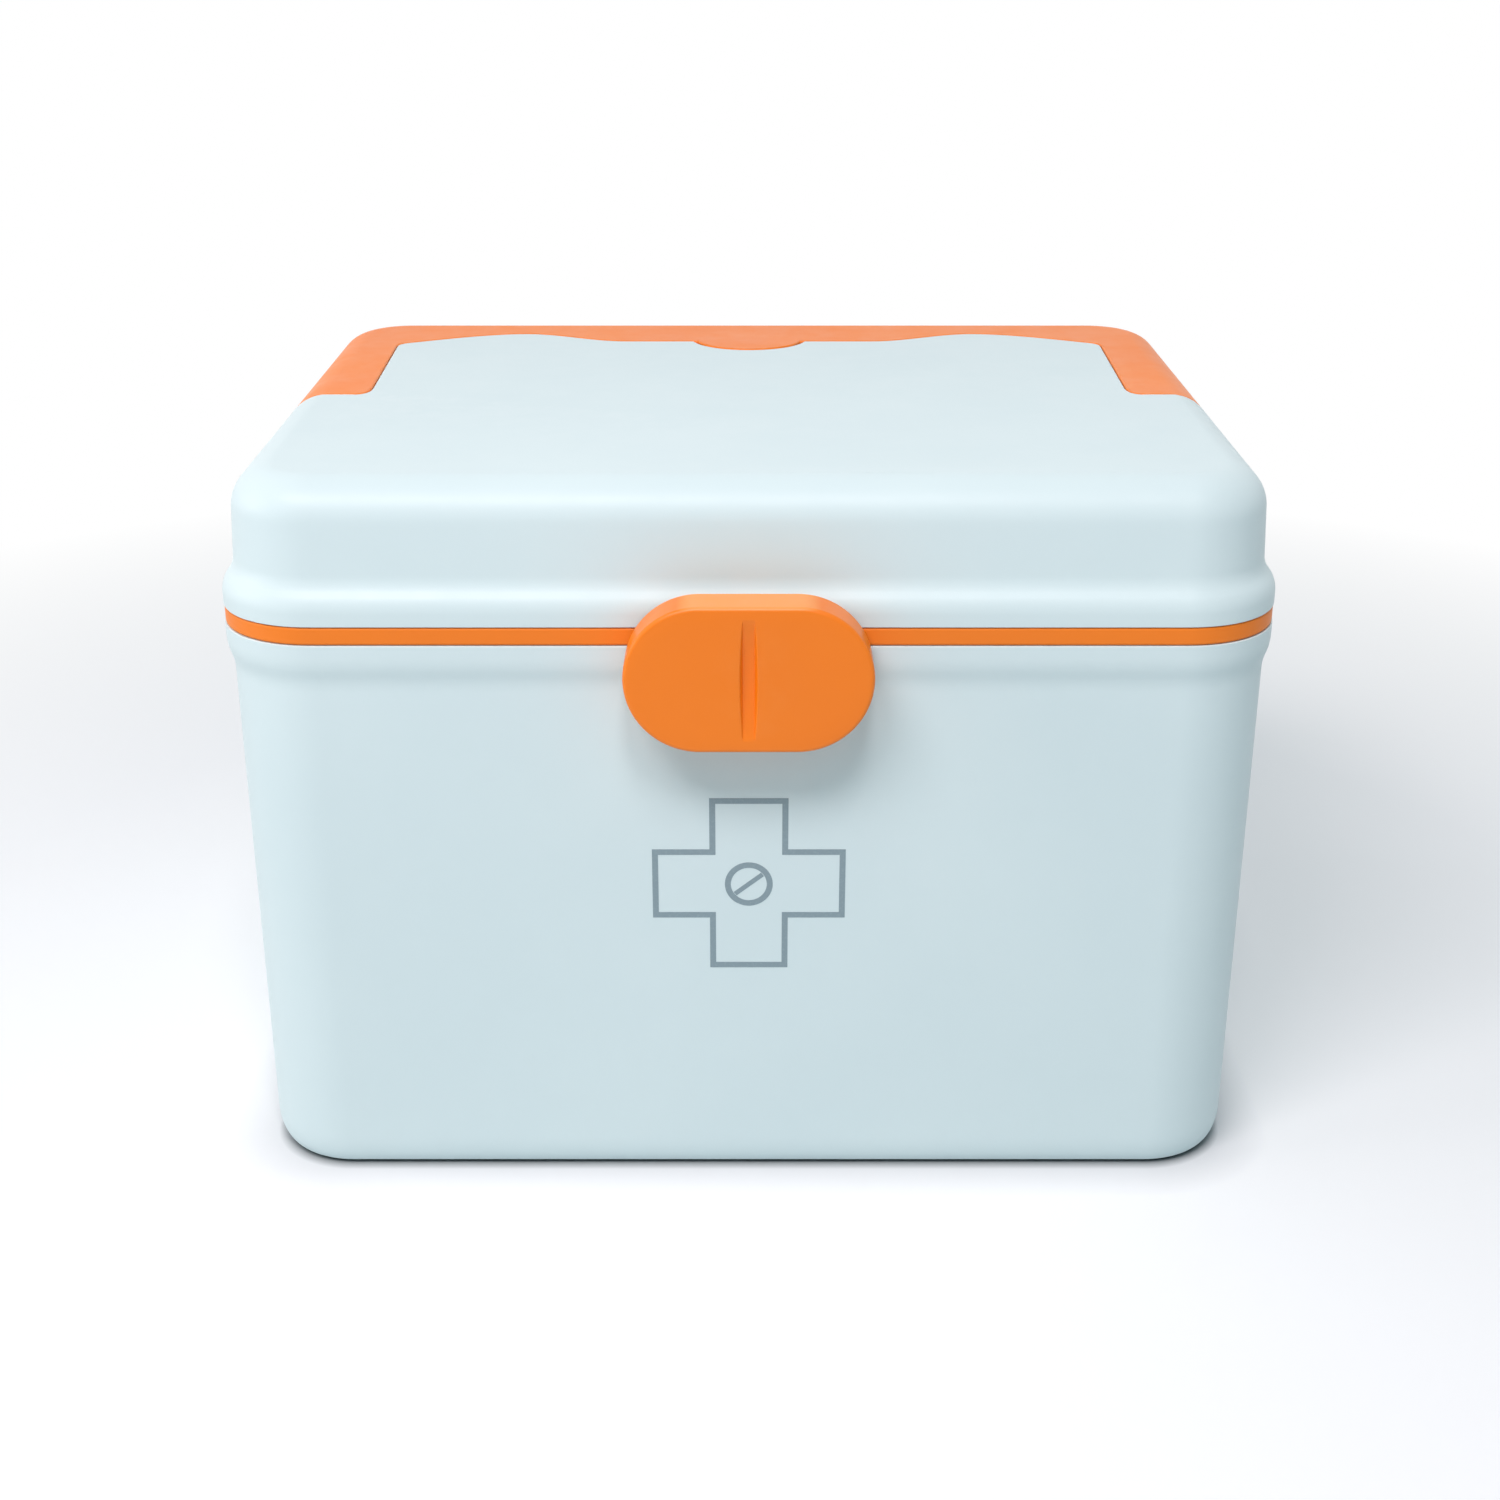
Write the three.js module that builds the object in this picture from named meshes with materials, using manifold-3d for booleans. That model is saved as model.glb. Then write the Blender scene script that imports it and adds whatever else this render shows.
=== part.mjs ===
// Medicine box with a hinged lid, a folding handle, a pill-shaped latch and a lift-out tray.
// Millimetres, +Z up. The front faces -Y. The origin is on the floor, under the middle of the whole
// part from the latch's face to the back of the hinge.

import * as THREE from 'three';
import { mergeVertices } from 'three/addons/utils/BufferGeometryUtils.js';
import Module from 'manifold-3d';

const wasm = await Module();
wasm.setup();

// Clearances
const seatGap = 0.2;
const runningGap = 0.3;
const overrun = 3;

// Rim: the widest line round the box, shared by the base's collar and the lid's skirt
const rimWidth = 260;
const rimDepth = 204;
const rimCorner = 25;

// Base container
const footStand = 1;
const baseHeight = 146.2;
const baseWall = 2.4;
const baseFloor = 2.8;
const wallInset = 1.6;
const wallDraft = 0.7;
const bottomFillet = 6.7;
const collarHeight = 6.2;
const collarBlend = 4.5;
const rimEdge = 0.4;
const tongueHeight = 8.8;
const tongueThickness = 1.6;

// Ribs inside the base that carry the tray
const trayRibThickness = 2.4;
const trayRibReach = 8.6;
const trayRibDrop = 3.4;

// Seal band between the collar and the lid
const bandHeight = 3.9;
const bandInset = 0.5;

// Feet
const footLength = 24;
const footWidth = 14;
const footCorner = 4;
const footSink = 1.2;
const footInset = 26;

// Lid
const lidHeight = 34.5;
const lidWall = 2.2;
const skirtHeight = 5.5;
const skirtBlend = 6.7;
const domeInset = 3.86;
const shoulderRadius = 10.5;

// Handle, folded flat over the back half of the lid
const handleThickness = 18.1;
const handleWall = 2.4;
const legWidth = 22.2;
const barWidth = 22;
const gripBulge = 11;
const gripReach = 68;
const gripCurve = 31;
const handlePivotY = 1;
const handlePivotDrop = 5.5;
const handlePinRadius = 2.2;
const handlePinReach = 14.5;
const handlePinBoss = 5;
const handleEndRadius = 8.7;
const handleEndWidening = 4;
const handleRibThickness = 2;
const legRibShares = [1, 2];
const barRibShares = [0.2, 0.4, 0.6];
const lipRadius = 16;
const lipReach = 11.8;
const lipThickness = 3;
const lipGap = 1.2;

// Latch: a pill that hangs from a pin in two lugs on the lid
const latchWidth = 59.4;
const latchHeight = 36;
const latchDepth = 10.8;
const latchStandOff = 2.2;
const latchRise = 8.9;
const latchWall = 2.4;
const latchEdge = 1;
const latchBarrelRadius = 3.4;
const latchBarrelLength = 27.6;
const latchPinRadius = 1.1;
const lugWidth = 3.5;
const lugSpacing = 17.5;
const lugRadius = 2.5;
const lugCover = 1.2;
const scoreRadius = 3.2;
const scoreDepth = 0.9;
const scoreLength = 29;
const hookWidth = 24;
const hookThickness = 2.2;
const hookRootThickness = 4.4;

// Catch bar under the collar, which the latch's hook snaps over
const catchWidth = 28;
const catchHeight = 3;
const catchReach = 1.5;

// Rear hinge
const hingeSpacing = 140;
const hingeOffset = 4;
const hingeBarrelRadius = 3.4;
const hingePinRadius = 1.25;
const baseKnuckleWidth = 9;
const lidKnuckleWidth = 14;

// Tray and its dividers
const trayDepth = 48;
const trayWall = 1.8;
const trayFloor = 2;
const trayDraft = 1.4;
const trayFlangeInset = 9.5;
const trayFlange = 4.5;
const trayFlangeThickness = 2;
const trayCorner = 17.5;
const trayCentreY = 5;
const trayGripRise = 19;
const trayGripWidth = 96;
const trayGripSlotWidth = 70;
const trayGripSlotHeight = 12;
const trayGripBar = 5;
const dividerThickness = 1.6;
const dividerHeight = 40;
const dividerGuide = 1.4;
const frontDividerShares = [-0.3];
const backDividerShares = [-0.34, 0.34];

// Facets
const cornerSteps = 8;
const smallCornerSteps = 5;
const roundSteps = 24;
const pinSteps = 20;
const blendSteps = 3;
const shoulderSteps = 6;
const outlineSteps = 8;

// Colours
const shellColour = 0xdde9ed;
const orangeColour = 0xf58431;
const trayColour = 0xe4eef2;
const dividerColour = 0xd9e6ea;
const rubberColour = 0x8e9499;
const steelColour = 0xb9bcc0;

// Places worked out from the sizes above
const rimX = rimWidth / 2;
const rimY = rimDepth / 2;
const collarTop = footStand + baseHeight;
const collarBottom = collarTop - collarHeight;
const wallTop = collarBottom - collarBlend;
const tongueTop = collarTop + tongueHeight;
const tongueInset = lidWall + runningGap;
const baseInnerInset = tongueInset + tongueThickness;
const bandBottom = collarTop + seatGap;
const bandTop = bandBottom + bandHeight;
const lidBottom = bandTop + seatGap;
const lidTop = lidBottom + lidHeight;
const skirtTop = lidBottom + skirtHeight;
const domeBottom = skirtTop + skirtBlend;
const shoulderBottom = lidTop - shoulderRadius;
const domeX = rimX - domeInset;
const domeY = rimY - domeInset;

const handleUnderside = lidTop - handleThickness;
const recessFloor = handleUnderside - runningGap;
const handlePivotZ = lidTop - handlePivotDrop;
const legSolidLength = handleThickness - handlePivotDrop;
const legInnerX = domeX - legWidth;
const handlePinInnerX = legInnerX - runningGap - lidWall - handlePinBoss + handlePinRadius;

const latchBackY = -(rimY + latchStandOff);
const latchFrontY = latchBackY - latchDepth;
const latchTop = lidBottom + latchRise;
const latchCentreZ = latchTop - latchHeight / 2;
const latchPivotY = latchBackY - latchBarrelRadius;
const latchPivotZ = latchTop - latchBarrelRadius;
const catchTop = wallTop - seatGap;
const catchFaceY = -(rimY + catchReach);

const hingeY = rimY + hingeOffset;
const hingeZ = (collarTop + lidBottom) / 2;

const trayRibTop = collarTop - trayRibDrop;
const trayFlangeBottom = trayRibTop + seatGap;
const trayTop = trayFlangeBottom + trayFlangeThickness;
const trayBottom = trayTop - trayDepth;
const trayBodyInset = trayFlangeInset + trayFlange;
const trayX = rimX - trayBodyInset;
const trayY = rimY - trayBodyInset;

// Solids: geometry in, joined or cut solid out

function solidOf(geometry) {
  const bare = geometry.clone();
  bare.deleteAttribute('normal');
  bare.deleteAttribute('uv');
  const merged = mergeVertices(bare);
  return new wasm.Manifold(new wasm.Mesh({
    numProp: 3,
    vertProperties: new Float32Array(merged.attributes.position.array),
    triVerts: new Uint32Array(merged.index.array),
  }));
}

function geometryOf(solid) {
  const mesh = solid.getMesh();
  const geometry = new THREE.BufferGeometry();
  geometry.setAttribute('position', new THREE.BufferAttribute(new Float32Array(mesh.vertProperties), 3));
  geometry.setIndex(new THREE.BufferAttribute(new Uint32Array(mesh.triVerts), 1));
  geometry.computeVertexNormals();
  return geometry;
}

function joined(solids) {
  return solids.reduce((all, next) => all.add(next));
}

function mirrored(solid) {
  return joined([solid, solid.mirror([1, 0, 0])]);
}

// Points of one level section: a rectangle with round corners
function sectionPoints(section, steps) {
  const { halfX, halfY, corner, z, centreX = 0, centreY = 0 } = section;
  const points = [];
  for (let quarter = 0; quarter < 4; quarter += 1) {
    const signX = quarter === 0 || quarter === 3 ? 1 : -1;
    const signY = quarter < 2 ? 1 : -1;
    for (let step = 0; step <= steps; step += 1) {
      const angle = (quarter + step / steps) * Math.PI / 2;
      const x = centreX + signX * (halfX - corner) + corner * Math.cos(angle);
      const y = centreY + signY * (halfY - corner) + corner * Math.sin(angle);
      points.push([x, y, z]);
    }
  }
  return points;
}

// A closed solid through level sections, from the lowest to the highest
function loft(sections, steps = cornerSteps) {
  const rings = sections.map((section) => sectionPoints(section, steps));
  const count = rings[0].length;
  const indices = [];
  for (let ring = 0; ring + 1 < rings.length; ring += 1) {
    for (let point = 0; point < count; point += 1) {
      const a = ring * count + point;
      const b = ring * count + (point + 1) % count;
      indices.push(a, b, b + count, a, b + count, a + count);
    }
  }
  const last = (rings.length - 1) * count;
  for (let point = 1; point + 1 < count; point += 1) {
    indices.push(0, point + 1, point);
    indices.push(last, last + point, last + point + 1);
  }
  const geometry = new THREE.BufferGeometry();
  const positions = new Float32Array(rings.flat(2));
  geometry.setAttribute('position', new THREE.BufferAttribute(positions, 3));
  geometry.setIndex(indices);
  return geometry;
}

// A section of the box at one height, set in from the rim all round
function rimSection(inset, z) {
  return { halfX: rimX - inset, halfY: rimY - inset, corner: rimCorner - inset, z };
}

// Two equal arcs that step a wall from one inset to another between two heights
function steppedInsets(fromInset, toInset, fromZ, toZ) {
  const run = toInset - fromInset;
  const rise = toZ - fromZ;
  const radius = (run * run + rise * rise) / (4 * Math.abs(run));
  const sweep = Math.asin(rise / 2 / radius);
  const steps = Array.from({ length: blendSteps + 1 }, (_, step) => step / blendSteps);
  const side = Math.sign(run);
  const lower = steps.map((t) => {
    const angle = t * sweep;
    return [fromInset + side * radius * (1 - Math.cos(angle)), fromZ + radius * Math.sin(angle)];
  });
  const upper = steps.slice(0, -1).reverse().map((t) => {
    const angle = t * sweep;
    return [toInset - side * radius * (1 - Math.cos(angle)), toZ - radius * Math.sin(angle)];
  });
  return [...lower, ...upper];
}

// A quarter round that closes a wall in from its side towards the top
function roundedTop(inset, bottomZ, radius, steps) {
  return Array.from({ length: steps }, (_, step) => {
    const angle = (step + 1) / steps * Math.PI / 2;
    return [inset + radius * (1 - Math.cos(angle)), bottomZ + radius * Math.sin(angle)];
  });
}

// A quarter round that opens a floor out towards a wall
function roundedBottom(inset, bottomZ, radius, steps) {
  return Array.from({ length: steps }, (_, step) => {
    const angle = step / steps * Math.PI / 2;
    return [inset + radius * (1 - Math.sin(angle)), bottomZ + radius * (1 - Math.cos(angle))];
  });
}

function rimLoft(insets) {
  return solidOf(loft(insets.map(([inset, z]) => rimSection(inset, z))));
}

function block(fromX, toX, fromY, toY, fromZ, toZ) {
  const geometry = new THREE.BoxGeometry(toX - fromX, toY - fromY, toZ - fromZ);
  geometry.translate((fromX + toX) / 2, (fromY + toY) / 2, (fromZ + toZ) / 2);
  return solidOf(geometry);
}

// A round bar along X
function barAlongX(radius, fromX, toX, y, z, steps = roundSteps) {
  const geometry = new THREE.CylinderGeometry(radius, radius, toX - fromX, steps);
  geometry.rotateZ(Math.PI / 2);
  geometry.translate((fromX + toX) / 2, y, z);
  return solidOf(geometry);
}

// A round bar along Z
function barAlongZ(radius, x, y, fromZ, toZ, steps = roundSteps) {
  const geometry = new THREE.CylinderGeometry(radius, radius, toZ - fromZ, steps);
  geometry.rotateX(Math.PI / 2);
  geometry.translate(x, y, (fromZ + toZ) / 2);
  return solidOf(geometry);
}

// An outline in X and Y, raised from one height to another
function prism(points, fromZ, toZ) {
  const shape = new THREE.Shape(points.map(([x, y]) => new THREE.Vector2(x, y)));
  const geometry = new THREE.ExtrudeGeometry(shape, { depth: toZ - fromZ, bevelEnabled: false });
  geometry.translate(0, 0, fromZ);
  return solidOf(geometry);
}

// An outline in Y and Z, carried from one X to another
function sidePlate(points, fromX, toX) {
  const shape = new THREE.Shape(points.map(([y, z]) => new THREE.Vector2(y, z)));
  const geometry = new THREE.ExtrudeGeometry(shape, { depth: toX - fromX, bevelEnabled: false });
  geometry.rotateX(Math.PI / 2);
  geometry.rotateZ(Math.PI / 2);
  geometry.translate(fromX, 0, 0);
  return solidOf(geometry);
}

// Base container

function baseOuter() {
  const lowInset = wallInset + wallDraft;
  const insets = [
    ...roundedBottom(lowInset, footStand, bottomFillet, shoulderSteps),
    [lowInset, footStand + bottomFillet],
    ...steppedInsets(wallInset, 0, wallTop, collarBottom),
    [0, collarTop - rimEdge],
    [rimEdge, collarTop],
  ];
  return rimLoft(insets);
}

function baseTongue() {
  return rimLoft([
    [tongueInset, collarBottom],
    [tongueInset, tongueTop - rimEdge],
    [tongueInset + rimEdge, tongueTop],
  ]);
}

function baseCavity() {
  const lowInset = baseInnerInset + wallDraft;
  const innerFillet = bottomFillet - baseWall;
  const floorZ = footStand + baseFloor;
  return rimLoft([
    ...roundedBottom(lowInset, floorZ, innerFillet, blendSteps),
    [lowInset, floorZ + innerFillet],
    [baseInnerInset, wallTop],
    [baseInnerInset, tongueTop + overrun],
  ]);
}

// Upright ribs against the inside of the walls; their tops carry the tray's flange
function trayRibs() {
  const wallX = rimX - baseInnerInset + baseWall / 2;
  const wallY = rimY - baseInnerInset + baseWall / 2;
  const innerX = rimX - baseInnerInset - trayRibReach;
  const innerY = rimY - baseInnerInset - trayRibReach;
  const half = trayRibThickness / 2;
  const floorZ = footStand + baseFloor / 2;
  const sideY = rimY / 2;
  const frontX = rimX / 2;
  const sides = [-sideY, sideY].map((y) => block(innerX, wallX, y - half, y + half, floorZ, trayRibTop));
  const front = block(frontX - half, frontX + half, -wallY, -innerY, floorZ, trayRibTop);
  const back = block(frontX - half, frontX + half, innerY, wallY, floorZ, trayRibTop);
  return mirrored(joined([...sides, front, back])).intersect(baseOuter());
}

function footPlaces() {
  const x = rimX - footInset;
  const y = rimY - footInset;
  return {
    foot_front_left: [-x, -y],
    foot_front_right: [x, -y],
    foot_rear_left: [-x, y],
    foot_rear_right: [x, y],
  };
}

function footRecess([x, y]) {
  const section = (z) => ({
    halfX: footLength / 2 + runningGap,
    halfY: footWidth / 2 + runningGap,
    corner: footCorner + runningGap,
    z,
    centreX: x,
    centreY: y,
  });
  return solidOf(loft([section(footStand - overrun), section(footStand + footSink)], smallCornerSteps));
}

function catchBar() {
  const bottomZ = catchTop - catchHeight;
  const innerY = -(rimY - wallInset - baseWall / 2);
  const profile = [
    [innerY, bottomZ],
    [innerY, catchTop],
    [catchFaceY + rimEdge, catchTop],
    [catchFaceY, catchTop - rimEdge],
    [catchFaceY, bottomZ],
  ];
  return sidePlate(profile, -catchWidth / 2, catchWidth / 2);
}

// One knuckle of the base: a barrel on the hinge line, and the web that joins it to the collar
function baseKnuckle(fromX, toX) {
  const web = [
    [rimY - tongueInset, collarBottom],
    [rimY, collarBottom],
    [hingeY + hingeBarrelRadius * Math.SQRT1_2, hingeZ - hingeBarrelRadius * Math.SQRT1_2],
    [hingeY, hingeZ],
    [hingeY - hingeBarrelRadius * Math.SQRT1_2, collarTop - rimEdge],
    [rimY - tongueInset, collarTop - rimEdge],
  ];
  return joined([
    barAlongX(hingeBarrelRadius, fromX, toX, hingeY, hingeZ),
    sidePlate(web, fromX, toX),
  ]);
}

function hingeBore(fromX, toX) {
  return barAlongX(hingePinRadius + runningGap, fromX, toX, hingeY, hingeZ, pinSteps);
}

// Where the knuckles of the right-hand hinge start and end along X
function hingeStations() {
  const centre = hingeSpacing / 2;
  const lidFrom = centre - lidKnuckleWidth / 2;
  const lidTo = centre + lidKnuckleWidth / 2;
  return {
    lidFrom,
    lidTo,
    innerFrom: lidFrom - runningGap - baseKnuckleWidth,
    innerTo: lidFrom - runningGap,
    outerFrom: lidTo + runningGap,
    outerTo: lidTo + runningGap + baseKnuckleWidth,
  };
}

function baseHingeKnuckles() {
  const at = hingeStations();
  const inner = baseKnuckle(at.innerFrom, at.innerTo);
  const outer = baseKnuckle(at.outerFrom, at.outerTo);
  const bore = hingeBore(at.innerFrom - overrun, at.outerTo + overrun);
  return mirrored(joined([inner, outer]).subtract(bore));
}

function baseContainer() {
  const shell = baseOuter().add(baseTongue()).subtract(baseCavity());
  const feet = Object.values(footPlaces()).map(footRecess);
  const solid = joined([shell, trayRibs(), catchBar(), baseHingeKnuckles()]).subtract(joined(feet));
  return geometryOf(solid);
}

function sealBand() {
  const outer = rimLoft([
    [bandInset + rimEdge, bandBottom],
    [bandInset, bandBottom + rimEdge],
    [bandInset, bandTop - rimEdge],
    [bandInset + rimEdge, bandTop],
  ]);
  const innerInset = tongueInset - seatGap;
  const inner = rimLoft([
    [innerInset, bandBottom - overrun],
    [innerInset, bandTop + overrun],
  ]);
  return geometryOf(outer.subtract(inner));
}

// A foot, about its own middle, standing on the floor
function foot() {
  const height = footStand + footSink - seatGap;
  const section = (inset, z) => ({
    halfX: footLength / 2 - inset,
    halfY: footWidth / 2 - inset,
    corner: footCorner - inset,
    z,
  });
  return loft([
    section(rimEdge, 0),
    section(0, rimEdge),
    section(0, height),
  ], smallCornerSteps);
}

// Hinge pin, about its own middle, along X
function hingePin() {
  const length = lidKnuckleWidth + 2 * baseKnuckleWidth;
  const geometry = new THREE.CylinderGeometry(hingePinRadius, hingePinRadius, length, pinSteps);
  geometry.rotateZ(Math.PI / 2);
  return geometry;
}

// Handle outline

// The inner edge of the folded handle in X and Y, from the right pivot to the left pivot
function handleInnerEdge(gap) {
  const legX = legInnerX - gap;
  const barY = domeY - barWidth - gap;
  const gripY = barY - gripBulge;
  const path = new THREE.Path();
  path.moveTo(rimX + overrun, handlePivotY);
  path.lineTo(legX, handlePivotY);
  path.lineTo(legX, barY - legWidth);
  path.quadraticCurveTo(legX, barY, legX - legWidth, barY);
  path.lineTo(gripReach, barY);
  const third = gripCurve / 3;
  path.bezierCurveTo(gripReach - third, barY, gripReach - 2 * third, gripY, gripReach - gripCurve, gripY);
  const half = path.getPoints(outlineSteps).map((point) => [point.x, point.y]);
  const other = half.map(([x, y]) => [-x, y]).reverse();
  return [...half, ...other];
}

// Everything behind the inner edge, out past the lid
function handleRegion(gap, fromZ, toZ) {
  const outline = [
    ...handleInnerEdge(gap),
    [-(rimX + overrun), rimY + overrun],
    [rimX + overrun, rimY + overrun],
  ];
  return prism(outline, fromZ, toZ);
}

function handlePivotBar(radius, fromX, toX, steps = roundSteps) {
  return barAlongX(radius, fromX, toX, handlePivotY, handlePivotZ, steps);
}

// The right leg's front end, turned about the pivot. Its inner radius just clears the lid's
// edge when the handle stands up; from there it widens a little towards the outside.
function legEnd(gap) {
  const startX = legInnerX - gap;
  const innerRadius = handlePivotDrop * Math.SQRT2 + gap;
  const outerRadius = handleEndRadius + gap;
  const profile = [
    new THREE.Vector2(0, startX),
    new THREE.Vector2(innerRadius, startX),
    new THREE.Vector2(outerRadius, startX + handleEndWidening),
    new THREE.Vector2(outerRadius, rimX + overrun),
    new THREE.Vector2(0, rimX + overrun),
  ];
  const geometry = new THREE.LatheGeometry(profile, 2 * roundSteps);
  geometry.rotateZ(-Math.PI / 2);
  geometry.translate(0, handlePivotY, handlePivotZ);
  return solidOf(geometry);
}

// What the handle and its turning legs need free in the lid, grown by a wall where asked
function handleRecess(wall) {
  const gap = runningGap + wall;
  const fromZ = recessFloor - wall;
  const toZ = lidTop + overrun;
  const region = handleRegion(gap, fromZ, toZ).add(mirrored(legEnd(gap)));
  const lipFloor = lidTop - lipThickness - lipGap - wall;
  return region.add(lipRound(lipGap + wall, lipFloor, toZ));
}

// The round of the grip's lip, a tab that a fingernail lifts
function lipRound(gap, fromZ, toZ) {
  const lipY = domeY - barWidth - gripBulge - lipReach + lipRadius;
  return barAlongZ(lipRadius + gap, 0, lipY, fromZ, toZ, 2 * roundSteps);
}

// Lid

function domeInsets(inset) {
  return [
    [domeInset + inset, shoulderBottom],
    ...roundedTop(domeInset + inset, shoulderBottom, shoulderRadius - inset, shoulderSteps),
  ];
}

function lidOuter() {
  return rimLoft([
    [rimEdge, lidBottom],
    [0, lidBottom + rimEdge],
    ...steppedInsets(0, domeInset, skirtTop, domeBottom),
    ...domeInsets(0),
  ]);
}

function lidCavity() {
  const innerStepTop = domeBottom + lidWall / 2;
  const insets = [
    [lidWall, lidBottom - overrun],
    [lidWall, skirtTop],
    [domeInset + lidWall, innerStepTop],
    ...domeInsets(lidWall),
  ];
  return rimLoft(insets);
}

function lidKnuckle() {
  const at = hingeStations();
  const web = [
    [rimY - lidWall / 2, lidBottom + rimEdge],
    [hingeY - hingeBarrelRadius * Math.SQRT1_2, lidBottom + rimEdge],
    [hingeY, hingeZ],
    [hingeY + hingeBarrelRadius * Math.SQRT1_2, hingeZ + hingeBarrelRadius * Math.SQRT1_2],
    [rimY, skirtTop + hingeBarrelRadius / 2],
    [rimY - lidWall / 2, skirtTop],
  ];
  const knuckle = joined([
    barAlongX(hingeBarrelRadius, at.lidFrom, at.lidTo, hingeY, hingeZ),
    sidePlate(web, at.lidFrom, at.lidTo),
  ]);
  return mirrored(knuckle.subtract(hingeBore(at.lidFrom - overrun, at.lidTo + overrun)));
}

// Two lugs that hold the latch's pin; their webs stay below the pin so that the latch can turn up
function latchLugs() {
  const webTop = latchPivotZ - latchBarrelRadius * Math.SQRT1_2;
  const web = [
    [-(rimY - lidWall / 2), lidBottom + rimEdge],
    [-(rimY - lidWall / 2), webTop],
    [latchPivotY, webTop],
    [latchPivotY - lugRadius * Math.SQRT1_2, latchPivotZ - lugRadius * Math.SQRT1_2],
    [-rimY, lidBottom + rimEdge],
  ];
  const fromX = lugSpacing / 2 - lugWidth / 2;
  const toX = lugSpacing / 2 + lugWidth / 2;
  const lug = joined([
    barAlongX(lugRadius, fromX, toX, latchPivotY, latchPivotZ),
    sidePlate(web, fromX, toX),
  ]);
  const bore = barAlongX(
    latchPinRadius + seatGap,
    fromX - overrun,
    toX + overrun,
    latchPivotY,
    latchPivotZ,
    pinSteps,
  );
  return mirrored(lug.subtract(bore));
}

function handleBosses() {
  const boss = handlePivotBar(handlePinBoss, handlePinInnerX, legInnerX - runningGap);
  return mirrored(boss);
}

function handleBores() {
  const bore = handlePivotBar(
    handlePinRadius + seatGap,
    handlePinInnerX - overrun,
    legInnerX + overrun,
    pinSteps,
  );
  return mirrored(bore);
}

function lidShell() {
  const outer = lidOuter();
  const cavity = lidCavity().subtract(handleRecess(lidWall));
  const shell = outer.subtract(cavity).subtract(handleRecess(0));
  const bosses = handleBosses().intersect(outer).subtract(handleRecess(0));
  const solid = joined([shell, bosses, lidKnuckle(), latchLugs()]).subtract(handleBores());
  return geometryOf(solid);
}

// Handle

// Hollow under the handle: inside the dome's skin and inside the inner edge
function handleHollow() {
  const toZ = lidTop - handleWall;
  const fromZ = handleUnderside - overrun;
  const skin = rimLoft([
    [domeInset + handleWall, fromZ],
    ...domeInsets(handleWall),
  ]);
  const edge = handleRegion(-handleWall, fromZ, toZ);
  const legSolidY = handlePivotY + legSolidLength;
  const behind = block(-rimX, rimX, legSolidY, rimY, fromZ, toZ);
  return skin.intersect(edge).intersect(behind);
}

// Cross ribs that stiffen the hollow: along the legs in widths of a leg, along the bar in shares of
// half the rim's width
function handleRibs() {
  const half = handleRibThickness / 2;
  const bottomZ = handleUnderside + handleWall;
  const legYs = legRibShares.map((share) => handlePivotY + legSolidLength + share * legWidth);
  const legRibs = legYs.map((y) => block(legInnerX, rimX, y - half, y + half, bottomZ, lidTop));
  const barXs = barRibShares.map((share) => share * rimX);
  const barRibs = barXs.map((x) => block(x - half, x + half, rimY / 2, rimY, bottomZ, lidTop));
  return mirrored(joined([...legRibs, ...barRibs]));
}

function handle() {
  const dome = rimLoft([[domeInset, handleUnderside], ...domeInsets(0)]);
  const region = handleRegion(0, handleUnderside, lidTop + overrun).add(mirrored(legEnd(0)));
  const body = dome.intersect(region);
  const hollow = handleHollow().subtract(handleRibs());
  const boreEndX = legInnerX + handlePinReach + runningGap;
  const bore = handlePivotBar(handlePinRadius + runningGap, legInnerX - overrun, boreEndX, pinSteps);
  const shell = body.subtract(hollow).subtract(mirrored(bore));
  return geometryOf(shell.add(lipRound(0, lidTop - lipThickness, lidTop)));
}

// Handle pin, from its inner end, along X
function handlePin() {
  const length = legInnerX + handlePinReach - handlePinInnerX;
  const geometry = new THREE.CylinderGeometry(handlePinRadius, handlePinRadius, length, pinSteps);
  geometry.rotateZ(Math.PI / 2);
  geometry.translate(length / 2, 0, 0);
  return geometry;
}

// Latch

// A pill-shaped block, standing on edge, from its back to its rounded front
function latchPill(inset, backY, frontY, edge) {
  const section = (taken, y) => ({
    halfX: latchWidth / 2 - inset - taken,
    halfY: latchHeight / 2 - inset - taken,
    corner: latchHeight / 2 - inset - taken,
    z: -y,
    centreY: latchCentreZ,
  });
  const rounds = Array.from({ length: blendSteps }, (_, step) => {
    const angle = (step + 1) / blendSteps * Math.PI / 2;
    return section(edge * (1 - Math.cos(angle)), frontY + edge * (1 - Math.sin(angle)));
  });
  const geometry = loft([section(0, backY), section(0, frontY + edge), ...rounds]);
  geometry.rotateX(Math.PI / 2);
  return solidOf(geometry);
}

// Slots that let the lugs in; the latch's skin laps over them a little way past the pin
function latchSlots() {
  const fromX = lugSpacing / 2 - lugWidth / 2 - runningGap;
  const toX = lugSpacing / 2 + lugWidth / 2 + runningGap;
  const round = barAlongX(lugRadius + runningGap, fromX, toX, latchPivotY, latchPivotZ);
  const skinY = latchPivotY + lugCover;
  const behind = block(fromX, toX, skinY, latchBackY + overrun, latchCentreZ, latchTop + overrun);
  const below = block(fromX, toX, latchPivotY, latchBackY + overrun, latchCentreZ, latchPivotZ);
  return mirrored(joined([round, behind, below]));
}

function latchHook() {
  const topZ = catchTop - catchHeight - runningGap;
  const tipY = catchFaceY - runningGap;
  const plateY = latchFrontY + latchWall / 2;
  const profile = [
    [plateY, topZ],
    [plateY, topZ - hookRootThickness],
    [tipY - hookThickness, topZ - hookThickness],
    [tipY, topZ - hookThickness],
    [tipY, topZ],
  ];
  return sidePlate(profile, -hookWidth / 2, hookWidth / 2);
}

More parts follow.
